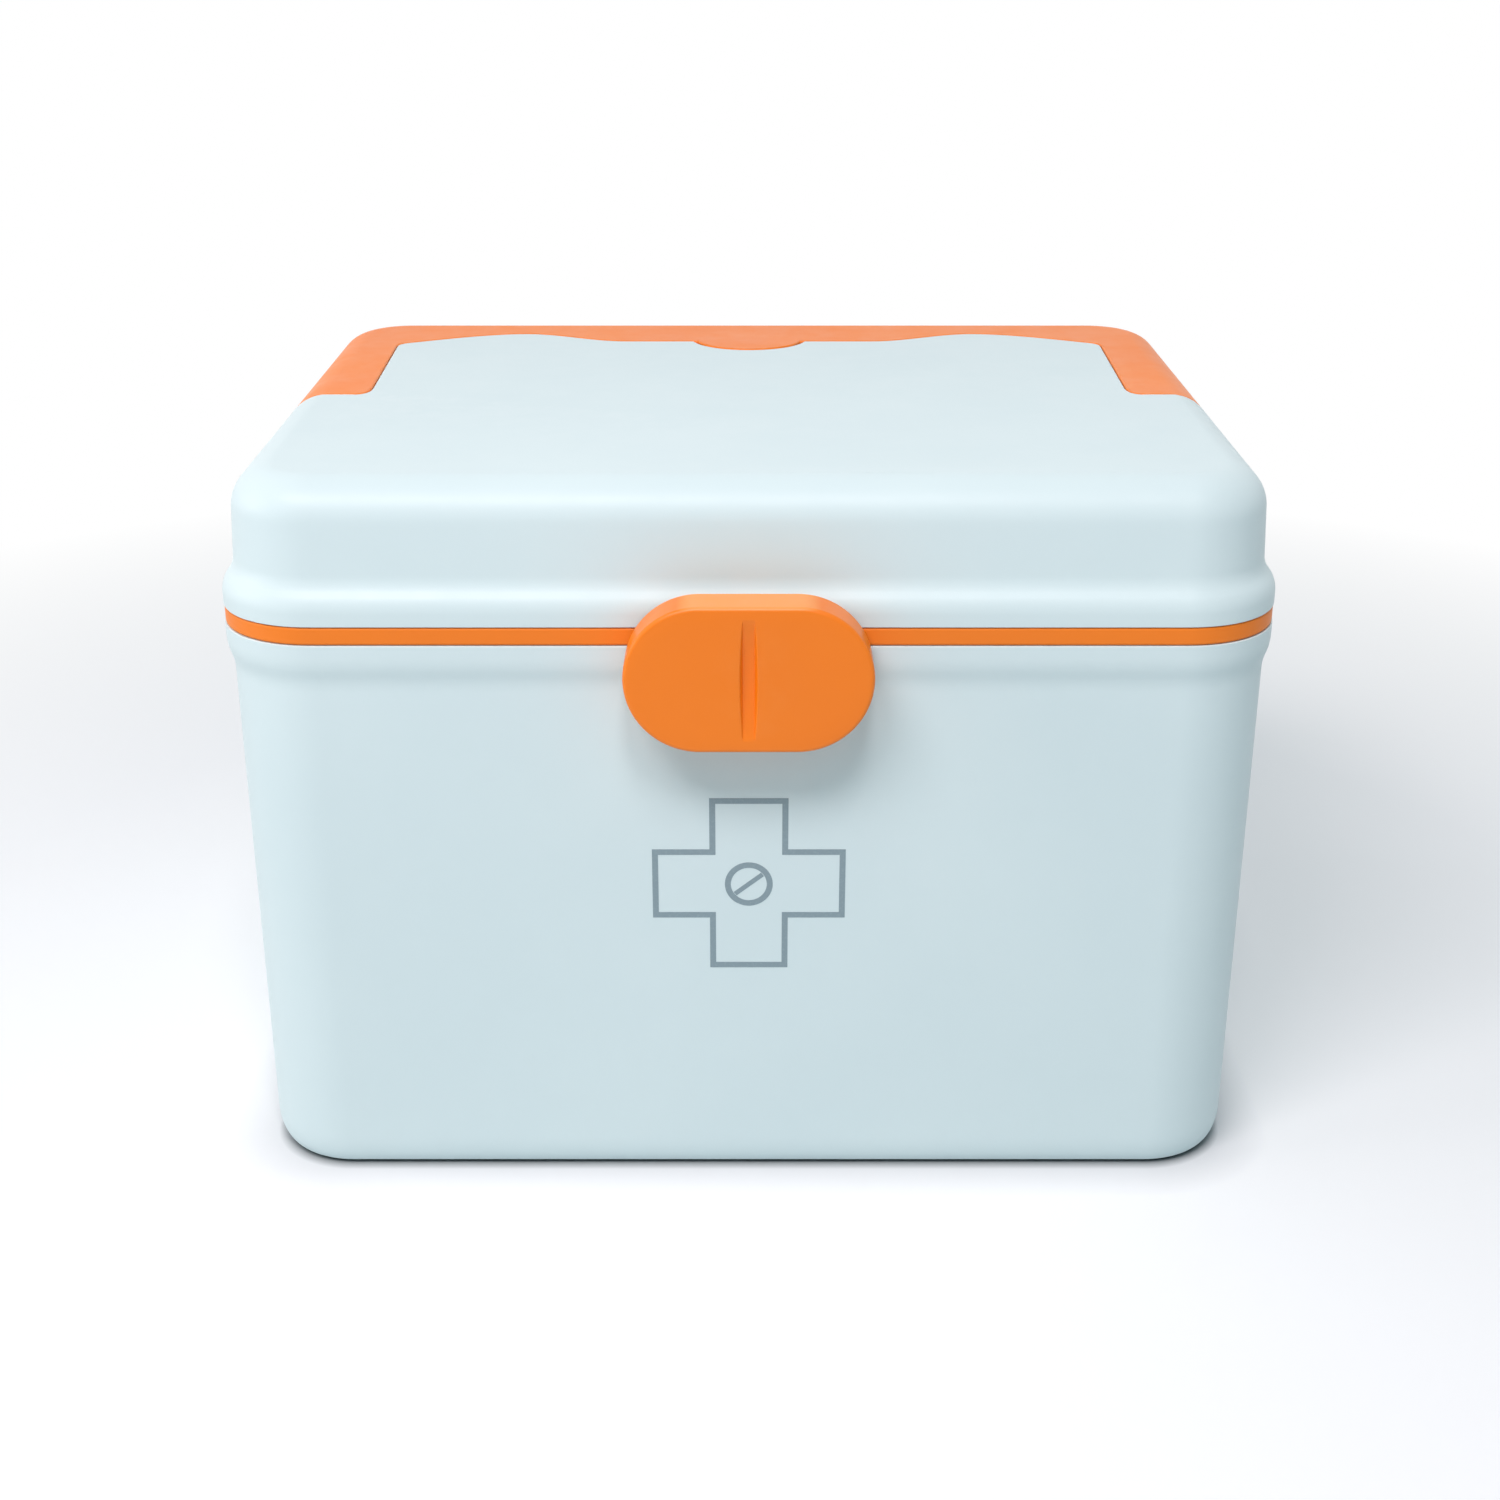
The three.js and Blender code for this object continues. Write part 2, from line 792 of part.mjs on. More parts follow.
function latch() {
  const outer = latchPill(0, latchBackY, latchFrontY, latchEdge);
  const cavity = latchPill(latchWall, latchBackY + overrun, latchFrontY + latchWall, rimEdge);
  const halfBarrel = latchBarrelLength / 2;
  const barrel = barAlongX(latchBarrelRadius, -halfBarrel, halfBarrel, latchPivotY, latchPivotZ);
  const score = barAlongZ(
    scoreRadius,
    0,
    latchFrontY + scoreDepth - scoreRadius,
    latchCentreZ - scoreLength / 2,
    latchCentreZ + scoreLength / 2,
  );
  const bore = barAlongX(
    latchPinRadius + runningGap,
    -halfBarrel - overrun,
    halfBarrel + overrun,
    latchPivotY,
    latchPivotZ,
    pinSteps,
  );
  const shell = joined([outer.subtract(cavity), barrel, latchHook()]);
  return geometryOf(shell.subtract(score).subtract(bore).subtract(latchSlots()));
}

// Latch pin, about its own middle, along X
function latchPin() {
  const length = latchBarrelLength - 2 * runningGap;
  const geometry = new THREE.CylinderGeometry(latchPinRadius, latchPinRadius, length, pinSteps);
  geometry.rotateZ(Math.PI / 2);
  return geometry;
}

// Tray

function traySection(inset, z) {
  return { halfX: trayX - inset, halfY: trayY - inset, corner: trayCorner - inset, z };
}

function trayBody() {
  return solidOf(loft([
    traySection(trayDraft, trayBottom),
    traySection(0, trayTop),
  ], smallCornerSteps));
}

function trayRim() {
  const section = (z) => ({
    halfX: trayX + trayFlange,
    halfY: trayY + trayFlange,
    corner: trayCorner + trayFlange,
    z,
  });
  return solidOf(loft([section(trayFlangeBottom), section(trayTop)], smallCornerSteps));
}

// Two rows of compartments, in front of and behind the middle wall
function trayRows() {
  const half = trayWall / 2;
  return {
    front: { fromY: -(trayY - trayWall), toY: trayCentreY - half, shares: frontDividerShares },
    back: { fromY: trayCentreY + half, toY: trayY - trayWall, shares: backDividerShares },
  };
}

function trayHollow({ fromY, toY }) {
  const section = (inset, z) => ({
    halfX: trayX - trayWall - inset,
    halfY: (toY - fromY) / 2 - inset,
    corner: trayCorner - trayWall - inset,
    z,
    centreY: (fromY + toY) / 2,
  });
  return solidOf(loft([
    section(trayDraft, trayBottom + trayFloor),
    section(0, trayTop + overrun),
  ], smallCornerSteps));
}

// The middle wall's raised grip, with a slot for the fingers
function trayGrip() {
  const half = trayWall / 2;
  const gripTop = trayTop + trayGripRise;
  const plate = sidePlateAcross(
    [
      [-trayGripWidth / 2, trayTop - trayWall],
      [trayGripWidth / 2, trayTop - trayWall],
      [trayGripWidth / 2 - trayGripBar, gripTop],
      [-trayGripWidth / 2 + trayGripBar, gripTop],
    ],
    trayCentreY - half,
    trayCentreY + half,
  );
  const slotTop = gripTop - trayGripBar;
  const slot = sidePlateAcross(
    slotOutline(trayGripSlotWidth, slotTop - trayGripSlotHeight, slotTop),
    trayCentreY - half - overrun,
    trayCentreY + half + overrun,
  );
  return plate.subtract(slot);
}

// A slot with round ends, in X and Z
function slotOutline(width, fromZ, toZ) {
  const radius = (toZ - fromZ) / 2;
  const shape = new THREE.Shape();
  shape.absarc(width / 2 - radius, fromZ + radius, radius, -Math.PI / 2, Math.PI / 2, false);
  shape.absarc(-width / 2 + radius, fromZ + radius, radius, Math.PI / 2, 3 * Math.PI / 2, false);
  return shape.getPoints(outlineSteps).map((point) => [point.x, point.y]);
}

// An outline in X and Z, carried from one Y to another
function sidePlateAcross(points, fromY, toY) {
  const shape = new THREE.Shape(points.map(([x, z]) => new THREE.Vector2(x, z)));
  const geometry = new THREE.ExtrudeGeometry(shape, { depth: toY - fromY, bevelEnabled: false });
  geometry.rotateX(Math.PI / 2);
  geometry.translate(0, toY, 0);
  return solidOf(geometry);
}

// Pairs of guides on the row's two long walls, one pair at each end of each divider
function dividerGuides({ fromY, toY, shares }) {
  const bottomZ = trayBottom + trayFloor / 2;
  const topZ = trayBottom + trayFloor + dividerHeight;
  const near = dividerThickness / 2 + runningGap;
  const far = near + dividerGuide;
  const reach = dividerGuide + trayDraft + trayWall / 2;
  const guides = [];
  for (const share of shares) {
    const x = share * trayX;
    for (const [fromX, toX] of [[x - far, x - near], [x + near, x + far]]) {
      guides.push(block(fromX, toX, fromY - trayWall / 2, fromY - trayWall / 2 + reach, bottomZ, topZ));
      guides.push(block(fromX, toX, toY + trayWall / 2 - reach, toY + trayWall / 2, bottomZ, topZ));
    }
  }
  return joined(guides);
}

function tray() {
  const rows = Object.values(trayRows());
  const shell = trayBody().add(trayRim()).subtract(joined(rows.map(trayHollow)));
  return geometryOf(joined([shell, trayGrip(), ...rows.map(dividerGuides)]));
}

// A divider of one row, about its own middle, standing on the tray's floor
function divider({ fromY, toY }) {
  const height = dividerHeight - seatGap;
  const halfTop = (toY - fromY) / 2 - runningGap;
  const halfBottom = halfTop - trayDraft;
  const shape = new THREE.Shape();
  shape.moveTo(-halfBottom, 0);
  shape.lineTo(halfBottom, 0);
  shape.lineTo(halfTop, height);
  shape.lineTo(-halfTop, height);
  const geometry = new THREE.ExtrudeGeometry(shape, { depth: dividerThickness, bevelEnabled: false });
  geometry.rotateX(Math.PI / 2);
  geometry.rotateZ(Math.PI / 2);
  geometry.translate(-dividerThickness / 2, 0, 0);
  return geometry;
}

// Materials

function finish(color, roughness, metalness) {
  return new THREE.MeshStandardMaterial({ color, roughness, metalness });
}

const shellPlastic = finish(shellColour, 0.42, 0);
const orangePlastic = finish(orangeColour, 0.38, 0);
const trayPlastic = finish(trayColour, 0.35, 0);
const dividerPlastic = finish(dividerColour, 0.35, 0);
const footRubber = finish(rubberColour, 0.8, 0);
const pinSteel = finish(steelColour, 0.3, 1);

// Assembly

function piece(name, geometry, material, place = [0, 0, 0]) {
  const mesh = new THREE.Mesh(geometry, material);
  mesh.name = name;
  mesh.position.set(...place);
  return mesh;
}

function assembly(...pieces) {
  const group = new THREE.Group();
  group.add(...pieces);
  return group;
}

function baseAssembly() {
  const feet = Object.entries(footPlaces()).map(
    ([name, [x, y]]) => piece(name, foot(), footRubber, [x, y, 0]),
  );
  const hingeX = hingeSpacing / 2;
  return assembly(
    piece('base_container', baseContainer(), shellPlastic),
    piece('seal_band', sealBand(), orangePlastic),
    ...feet,
    piece('hinge_pin_left', hingePin(), pinSteel, [-hingeX, hingeY, hingeZ]),
    piece('hinge_pin_right', hingePin(), pinSteel, [hingeX, hingeY, hingeZ]),
  );
}

function lidAssembly() {
  const leftPlace = [-handlePinInnerX, handlePivotY, handlePivotZ];
  const leftPin = piece('handle_pin_left', handlePin(), pinSteel, leftPlace);
  leftPin.rotation.z = Math.PI;
  return assembly(
    piece('lid_shell', lidShell(), shellPlastic),
    leftPin,
    piece('handle_pin_right', handlePin(), pinSteel, [handlePinInnerX, handlePivotY, handlePivotZ]),
    piece('latch_pin', latchPin(), pinSteel, [0, latchPivotY, latchPivotZ]),
    piece('handle', handle(), orangePlastic),
    piece('latch', latch(), orangePlastic),
  );
}

function trayAssembly() {
  const dividers = [];
  for (const row of Object.values(trayRows())) {
    for (const share of row.shares) {
      const place = [share * trayX, (row.fromY + row.toY) / 2, trayBottom + trayFloor + seatGap];
      const name = `tray_divider_${dividers.length + 1}`;
      dividers.push(piece(name, divider(row), dividerPlastic, place));
    }
  }
  return assembly(piece('tray', tray(), trayPlastic), ...dividers);
}

const group = assembly(baseAssembly(), lidAssembly(), trayAssembly());
group.position.y = -(latchFrontY + hingeY + hingeBarrelRadius) / 2;

export default group;
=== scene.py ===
"""The looks of a medicine box with a folding handle, a pill-shaped latch and a lift-out tray.

The shapes are drawn in millimetres about the middle of the rim, with the front at -Y, and every
finished piece is scaled to metres and set over its CAD node.
"""

import logging
import math
from collections.abc import Callable, Iterable, Sequence
from dataclasses import dataclass, field
from enum import Enum

import bmesh
import bpy
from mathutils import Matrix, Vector


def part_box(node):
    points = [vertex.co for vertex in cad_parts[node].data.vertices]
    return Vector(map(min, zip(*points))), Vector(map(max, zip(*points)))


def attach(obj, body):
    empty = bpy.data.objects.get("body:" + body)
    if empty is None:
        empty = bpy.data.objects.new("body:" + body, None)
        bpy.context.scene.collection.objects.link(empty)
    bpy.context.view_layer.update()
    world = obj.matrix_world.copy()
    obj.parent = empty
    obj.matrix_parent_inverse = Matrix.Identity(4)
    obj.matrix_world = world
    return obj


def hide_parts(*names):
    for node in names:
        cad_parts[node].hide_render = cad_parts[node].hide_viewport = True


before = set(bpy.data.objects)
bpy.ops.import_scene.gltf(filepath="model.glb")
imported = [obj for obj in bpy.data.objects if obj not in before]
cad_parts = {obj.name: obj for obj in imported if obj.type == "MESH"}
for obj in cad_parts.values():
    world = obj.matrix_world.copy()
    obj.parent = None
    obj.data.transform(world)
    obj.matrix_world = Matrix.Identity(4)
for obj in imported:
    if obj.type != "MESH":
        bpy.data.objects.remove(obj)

log = logging.getLogger("medicine_box")

METRES_PER_MM = 0.001
TOUCH = 0.02
PILL_END = 0.005
PIN_FACETS = 28
BORE_FACETS = 32

Piece = bpy.types.Object
Material = bpy.types.Material
Edge = bmesh.types.BMEdge
Face = bmesh.types.BMFace
Test = Callable[[Edge], bool] | Callable[[Face], bool]
Pair = tuple[float, float]
Point = tuple[float, float, float]
Level = tuple[float, float]
Colour = tuple[float, float, float]
Sockets = dict[str | int, object]


class Axis(Enum):
    """A direction that a round bar runs along, as the turn that lays it there."""

    X = (0.0, math.pi / 2, 0.0)
    Z = (0.0, 0.0, 0.0)


class Join(Enum):
    """What one solid does to another."""

    ADD = "UNION"
    CUT = "DIFFERENCE"
    KEEP_COMMON = "INTERSECT"


class Arm(Enum):
    """Which shell a hinge arm grows from."""

    COLLAR = "rises from the base's collar"
    SKIRT = "falls from the lid's skirt"


class Pick(Enum):
    """The kind of element that an edit acts on."""

    EDGES = "EDGE"
    FACES = "FACE"


@dataclass(frozen=True)
class Rim:
    """The widest line round the box, shared by the base's collar and the lid's skirt."""

    half_x: float = 130.0
    half_y: float = 102.0
    corner: float = 25.0
    edge: float = 0.25


RIM = Rim()


def stepped(from_inset: float, to_inset: float, from_z: float, to_z: float, steps: int = 6) -> list[Level]:
    """Two equal arcs that step a wall from one inset to another.

    Args:
        from_inset: Inset at the first height.
        to_inset: Inset at the second height.
        from_z: First height.
        to_z: Second height.
        steps: Steps in each arc.

    Returns:
        The levels after the first, up to and with the last.
    """
    run = to_inset - from_inset
    rise = to_z - from_z
    radius = (run * run + rise * rise) / (4 * abs(run))
    sweep = math.asin(min(1.0, abs(rise) / 2 / radius))
    side = math.copysign(1.0, run)
    way = math.copysign(1.0, rise)
    levels = []
    for step in range(1, 2 * steps + 1):
        lower = step <= steps
        angle = sweep * (step if lower else 2 * steps - step) / steps
        out = radius * (1 - math.cos(angle))
        up = radius * math.sin(angle)
        if lower:
            levels.append((from_inset + side * out, from_z + way * up))
        else:
            levels.append((to_inset - side * out, to_z - way * up))
    return levels


def quarter(
    inset: float, z: float, radius: float, way: float, closing: bool, steps: int = 10, stretch: float = 1.0,
) -> list[Level]:
    """A quarter round between a wall and a flat face.

    Args:
        inset: Inset of the wall or, where it opens onto a wall, of the flat face's edge.
        z: Height at which the round starts.
        radius: Radius of the round.
        way: 1 where it goes up and -1 where it goes down.
        closing: True from a wall to a flat face, False from a flat face to a wall.
        steps: Steps in the round.
        stretch: How many times its radius the round is high.

    Returns:
        The levels after the first.
    """
    levels = []
    for step in range(1, steps + 1):
        angle = step / steps * math.pi / 2
        near, far = 1 - math.cos(angle), math.sin(angle)
        across, along = (near, far) if closing else (far, near)
        levels.append((inset + radius * across, z + way * radius * stretch * along))
    return levels


def between(value: float, low: float, high: float) -> bool:
    """Says whether a value lies between two others."""
    return low - TOUCH < value < high + TOUCH


def middle_of(edge: Edge) -> Vector:
    """Gives the middle of an edge."""
    return (edge.verts[0].co + edge.verts[1].co) / 2


def fold_of(edge: Edge) -> float:
    """Gives the angle between an edge's two faces in degrees."""
    return math.degrees(edge.calc_face_angle(0.0))


def spans(edge: Edge, axis: int) -> bool:
    """Says whether an edge's ends differ along an axis, 0 for X to 2 for Z."""
    return abs(edge.verts[0].co[axis] - edge.verts[1].co[axis]) > TOUCH


def above(edge: Edge, limit: float, axis: int = 2) -> bool:
    """Says whether both ends lie at or past a limit along an axis."""
    return all(corner.co[axis] > limit - TOUCH for corner in edge.verts)


def below(edge: Edge, limit: float, axis: int = 2) -> bool:
    """Says whether both ends lie at or short of a limit along an axis."""
    return all(corner.co[axis] < limit + TOUCH for corner in edge.verts)


def level_at(element: Edge | Face, height: float) -> bool:
    """Says whether every corner lies at one height."""
    return all(abs(corner.co.z - height) < TOUCH for corner in element.verts)


@dataclass(frozen=True)
class Bench:
    """The modelling tools, used as by hand, in millimetres."""

    sharp: float = math.radians(38)

    def alone(self, piece: Piece) -> None:
        """Selects one piece and nothing else."""
        bpy.ops.object.select_all(action="DESELECT")
        piece.select_set(True)
        bpy.context.view_layer.objects.active = piece

    def settle(self, name: str) -> Piece:
        """Names the new primitive and applies its place.

        Args:
            name: The piece's name.

        Returns:
            The piece.
        """
        piece = bpy.context.object
        piece.name = name
        bpy.ops.object.transform_apply(location=True, rotation=True, scale=True)
        return piece

    def block(self, name: str, low: Point, high: Point) -> Piece:
        """Adds a block between two corners.

        Args:
            name: The piece's name.
            low: Lowest corner.
            high: Highest corner.

        Returns:
            The block.
        """
        middle = (Vector(low) + Vector(high)) / 2
        bpy.ops.mesh.primitive_cube_add(size=1, location=middle, scale=Vector(high) - Vector(low))
        return self.settle(name)

    def bar(
        self, name: str, axis: Axis, radius: float, start: Point, length: float, steps: int = 48,
    ) -> Piece:
        """Adds a round bar.

        Args:
            name: The piece's name.
            axis: The direction it runs along.
            radius: Its radius.
            start: The middle of its first end.
            length: How far it runs.
            steps: Facets round it.

        Returns:
            The bar.
        """
        way = {Axis.X: (1, 0, 0), Axis.Z: (0, 0, 1)}[axis]
        middle = Vector(start) + Vector(way) * length / 2
        bpy.ops.mesh.primitive_cylinder_add(
            vertices=steps, radius=radius, depth=length, location=middle, rotation=axis.value)
        return self.settle(name)

    def rounded(
        self, name: str, half: Pair, corner: float, low: float, high: float,
        centre: Pair = (0.0, 0.0), steps: int = 20,
    ) -> Piece:
        """Adds a block whose upright edges are round.

        Args:
            name: The piece's name.
            half: Half its width and half its depth.
            corner: Radius of its upright edges.
            low: Height of its underside.
            high: Height of its top.
            centre: Its middle in X and Y.
            steps: Steps round each upright edge.

        Returns:
            The block.
        """
        x, y = centre
        piece = self.block(name, (x - half[0], y - half[1], low), (x + half[0], y + half[1], high))
        self.pick(piece, Pick.EDGES, lambda edge: spans(edge, 2))
        bpy.ops.mesh.bevel(offset=corner, segments=steps, affect="EDGES", clamp_overlap=False)
        bpy.ops.mesh.select_all(action="SELECT")
        bpy.ops.mesh.remove_doubles(threshold=TOUCH)
        self.done()
        return piece

    def pick(self, piece: Piece, kind: Pick, test: Test) -> None:
        """Opens a piece for editing with only some of its elements selected.

        Args:
            piece: The piece to edit.
            kind: Whether faces or edges are picked.
            test: Says of a face or an edge whether it is picked.
        """
        self.alone(piece)
        bpy.ops.object.mode_set(mode="EDIT")
        bpy.ops.mesh.select_mode(type=kind.value)
        bpy.ops.mesh.select_all(action="DESELECT")
        shape = bmesh.from_edit_mesh(piece.data)
        for element in shape.faces if kind is Pick.FACES else shape.edges:
            if test(element):
                element.select_set(True)
        bmesh.update_edit_mesh(piece.data)

    def done(self) -> None:
        """Closes the piece that is open for editing."""
        bpy.ops.object.mode_set(mode="OBJECT")

    def climb(self, piece: Piece, start: float, facing: int, levels: Iterable[Level]) -> None:
        """Draws a level face through a run of insets and heights.

        Args:
            piece: The piece to edit.
            start: Height of the face.
            facing: 1 for a face that looks up, -1 for one that looks down.
            levels: Insets from the face's outline, with their heights.
        """
        self.pick(piece, Pick.FACES, lambda face: face.normal.z * facing > 0.9 and level_at(face, start))
        at_inset, at_height = 0.0, start
        for inset, height in levels:
            if inset - at_inset > 0.0001:
                bpy.ops.mesh.inset(thickness=inset - at_inset, depth=(height - at_height) * facing)
            else:
                bpy.ops.mesh.extrude_region_move(
                    TRANSFORM_OT_translate={"value": (0, 0, height - at_height)})
            at_inset, at_height = inset, height
        self.done()

    def soften(self, piece: Piece, width: float, steps: int, test: Test) -> None:
        """Rounds some of a piece's edges.

        Args:
            piece: The piece to edit.
            width: Width of the rounding.
            steps: Steps across it; one step makes a plain chamfer.
            test: Says of an edge whether it is rounded.
        """
        self.pick(piece, Pick.EDGES, test)
        bpy.ops.mesh.bevel(offset=width, segments=steps, affect="EDGES", clamp_overlap=False)
        self.done()

    def shift(self, piece: Piece, by: Point, test: Test) -> None:
        """Moves some of a piece's edges.

        Args:
            piece: The piece to edit.
            by: How far they move.
            test: Says of an edge whether it moves.
        """
        self.pick(piece, Pick.EDGES, test)
        bpy.ops.transform.translate(value=by)
        self.done()

    def combine(self, body: Piece, how: Join, *tools: Piece) -> Piece:
        """Joins solids to a body, or cuts them from it.

        Args:
            body: The solid that stays.
            how: What the tools do to it.
            tools: The solids that are used up.

        Returns:
            The body.
        """
        for tool in tools:
            self.alone(body)
            modifier = body.modifiers.new("join", "BOOLEAN")
            modifier.operation = how.value
            modifier.solver = "EXACT"
            modifier.object = tool
            bpy.ops.object.modifier_apply(modifier=modifier.name)
            bpy.data.objects.remove(tool)
        return body

    def drill(
        self, piece: Piece, radius: float, start: Point, length: float, steps: int = BORE_FACETS,
    ) -> Piece:
        """Cuts a bore along X.

        Args:
            piece: The piece that it is cut from.
            radius: The bore's radius.
            start: The middle of its first end.
            length: How far it runs.
            steps: Facets round it.

        Returns:
            The piece.
        """
        return self.combine(piece, Join.CUT, self.bar("bore", Axis.X, radius, start, length, steps))

    def outline(self, name: str, knots: Sequence["Knot"], low: float, high: float) -> Piece:
        """Draws a closed outline with curve handles and raises it to a solid.

        Args:
            name: The piece's name.
            knots: The outline's knots in order.
            low: Height of its underside.
            high: Height of its top.

        Returns:
            The solid.
        """
        bpy.ops.curve.primitive_bezier_circle_add(location=(0, 0, (low + high) / 2))
        drawn = bpy.context.object.data
        drawn.dimensions = "2D"
        drawn.fill_mode = "BOTH"
        drawn.resolution_u = 14
        drawn.extrude = (high - low) / 2
        points = drawn.splines[0].bezier_points
        points.add(len(knots) - len(points))
        for point, knot in zip(points, knots):
            point.handle_left_type = "FREE" if knot.before else "VECTOR"
            point.handle_right_type = "FREE" if knot.after else "VECTOR"
            point.co = (*knot.place, 0)
            if knot.before:
                point.handle_left = (*knot.before, 0)
            if knot.after:
                point.handle_right = (*knot.after, 0)
        bpy.ops.object.convert(target="MESH")
        piece = self.settle(name)
        self.clean(piece)
        return piece

    def clean(self, piece: Piece, flat: float = 0.2) -> None:
        """Merges doubles, clears lines inside flat faces and turns all faces outwards.

        Args:
            piece: The piece to edit.
            flat: Angle in degrees under which faces count as one flat face.
        """
        self.alone(piece)
        bpy.ops.object.mode_set(mode="EDIT")
        bpy.ops.mesh.select_all(action="SELECT")
        bpy.ops.mesh.remove_doubles(threshold=TOUCH)
        bpy.ops.mesh.dissolve_degenerate(threshold=TOUCH / 2)
        bpy.ops.mesh.dissolve_limited(angle_limit=math.radians(flat))
        bpy.ops.mesh.normals_make_consistent(inside=False)
        self.done()

    def turn(self, piece: Piece, angles: Point, place: Point = (0.0, 0.0, 0.0)) -> None:
        """Turns a piece about the origin and moves it.

        Args:
            piece: The piece.
            angles: Turns about X, Y and Z in radians.
            place: Where the origin goes.
        """
        self.alone(piece)
        piece.rotation_euler = angles
        piece.location = place
        bpy.ops.object.transform_apply(location=True, rotation=True, scale=True)

    def to_metres(self, piece: Piece) -> None:
        """Scales the active piece to metres and moves it to its place in the frame.

        Args:
            piece: The piece, in millimetres about the middle of the rim.
        """
        low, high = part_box("seal_band")
        piece.scale = (METRES_PER_MM,) * 3
        piece.location = (0, (low.y + high.y) / 2, 0)
        bpy.ops.object.transform_apply(location=True, rotation=True, scale=True)

    def register(self, piece: Piece, name: str, body: str, finish: Material) -> None:
        """Names a finished piece, gives it its material and sets it on its body.

        Args:
            piece: The piece.
            name: Its name.
            body: The body that it rides on.
            finish: Its material.
        """
        piece.name = name
        piece.data.materials.clear()
        piece.data.materials.append(finish)
        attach(piece, body)
        log.info("%s: %d faces", piece.name, len(piece.data.polygons))

    def hand_over(
        self, piece: Piece, node: str, body: str, finish: Material, edge: float = 0.0,
    ) -> None:
        """Finishes a piece and sets it over its CAD node.

        Args:
            piece: The piece, in millimetres.
            node: The CAD node that it stands for.
            body: The body that it rides on.
            finish: Its material.
            edge: Width of the rounding on its sharp edges, or 0 for none.
        """
        self.clean(piece)
        if edge:
            rounding = piece.modifiers.new("edges", "BEVEL")
            rounding.width = edge
            rounding.segments = 2
            rounding.limit_method = "ANGLE"
            rounding.angle_limit = self.sharp
            rounding.use_clamp_overlap = True
            rounding.miter_outer = "MITER_ARC"
            bpy.ops.object.modifier_apply(modifier=rounding.name)
        self.to_metres(piece)
        bpy.ops.object.shade_smooth_by_angle(angle=self.sharp)
        weights = piece.modifiers.new("normals", "WEIGHTED_NORMAL")
        weights.keep_sharp = True
        bpy.ops.object.modifier_apply(modifier=weights.name)
        self.register(piece, f"{node}_look", body, finish)
        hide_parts(node)

    def pin(
        self, node: str, body: str, finish: Material, radius: float, start: Point, length: float,
        steps: int = PIN_FACETS, edge: float = 0.2,
    ) -> None:
        """Models a steel pin along X and sets it over its CAD node.

        Args:
            node: The CAD node.
            body: The body that it rides on.
            finish: Its material.
            radius: Its radius.
            start: The middle of its first end.
            length: Its length.
            steps: Facets round it.
            edge: Width of the rounding on its ends.
        """
        piece = self.bar("pin", Axis.X, radius, start, length, steps)
        self.hand_over(piece, node, body, finish, edge)


BENCH = Bench()


@dataclass(frozen=True)
class Knot:
    """One knot of an outline, with the curve handles before and after it where it has them."""

    place: Pair
    before: Pair | None = None
    after: Pair | None = None


class Signal:
    """A node's output that is reckoned with as a number."""

    def __init__(self, board: "NodeBoard", socket: bpy.types.NodeSocket) -> None:
        """Wraps an output socket.

        Args:
            board: The board that the node stands on.
            socket: The output socket.
        """
        self.board = board
        self.socket = socket

    def _reckon(self, operation: str, first: "Signal | float", second: "Signal | float") -> "Signal":
        """Adds one Math node.

        Args:
            operation: The node's operation.
            first: Its first value.
            second: Its second value.

        Returns:
            The result.
        """
        return self.board.signal("ShaderNodeMath", {"operation": operation}, {0: first, 1: second})

    def __add__(self, other: "Signal | float") -> "Signal":
        """Adds."""
        return self._reckon("ADD", self, other)

    def __radd__(self, other: float) -> "Signal":
        """Adds to a number."""
        return self._reckon("ADD", other, self)

    def __sub__(self, other: "Signal | float") -> "Signal":
        """Subtracts."""
        return self._reckon("SUBTRACT", self, other)

    def __rsub__(self, other: float) -> "Signal":
        """Subtracts from a number."""
        return self._reckon("SUBTRACT", other, self)

    def __mul__(self, other: "Signal | float") -> "Signal":
        """Multiplies."""
        return self._reckon("MULTIPLY", self, other)

    def __rmul__(self, other: float) -> "Signal":
        """Multiplies a number."""
        return self._reckon("MULTIPLY", other, self)

    def clipped(self) -> "Signal":
        """Keeps the value between 0 and 1."""
        return self.board.signal("ShaderNodeClamp", {}, {"Value": self})


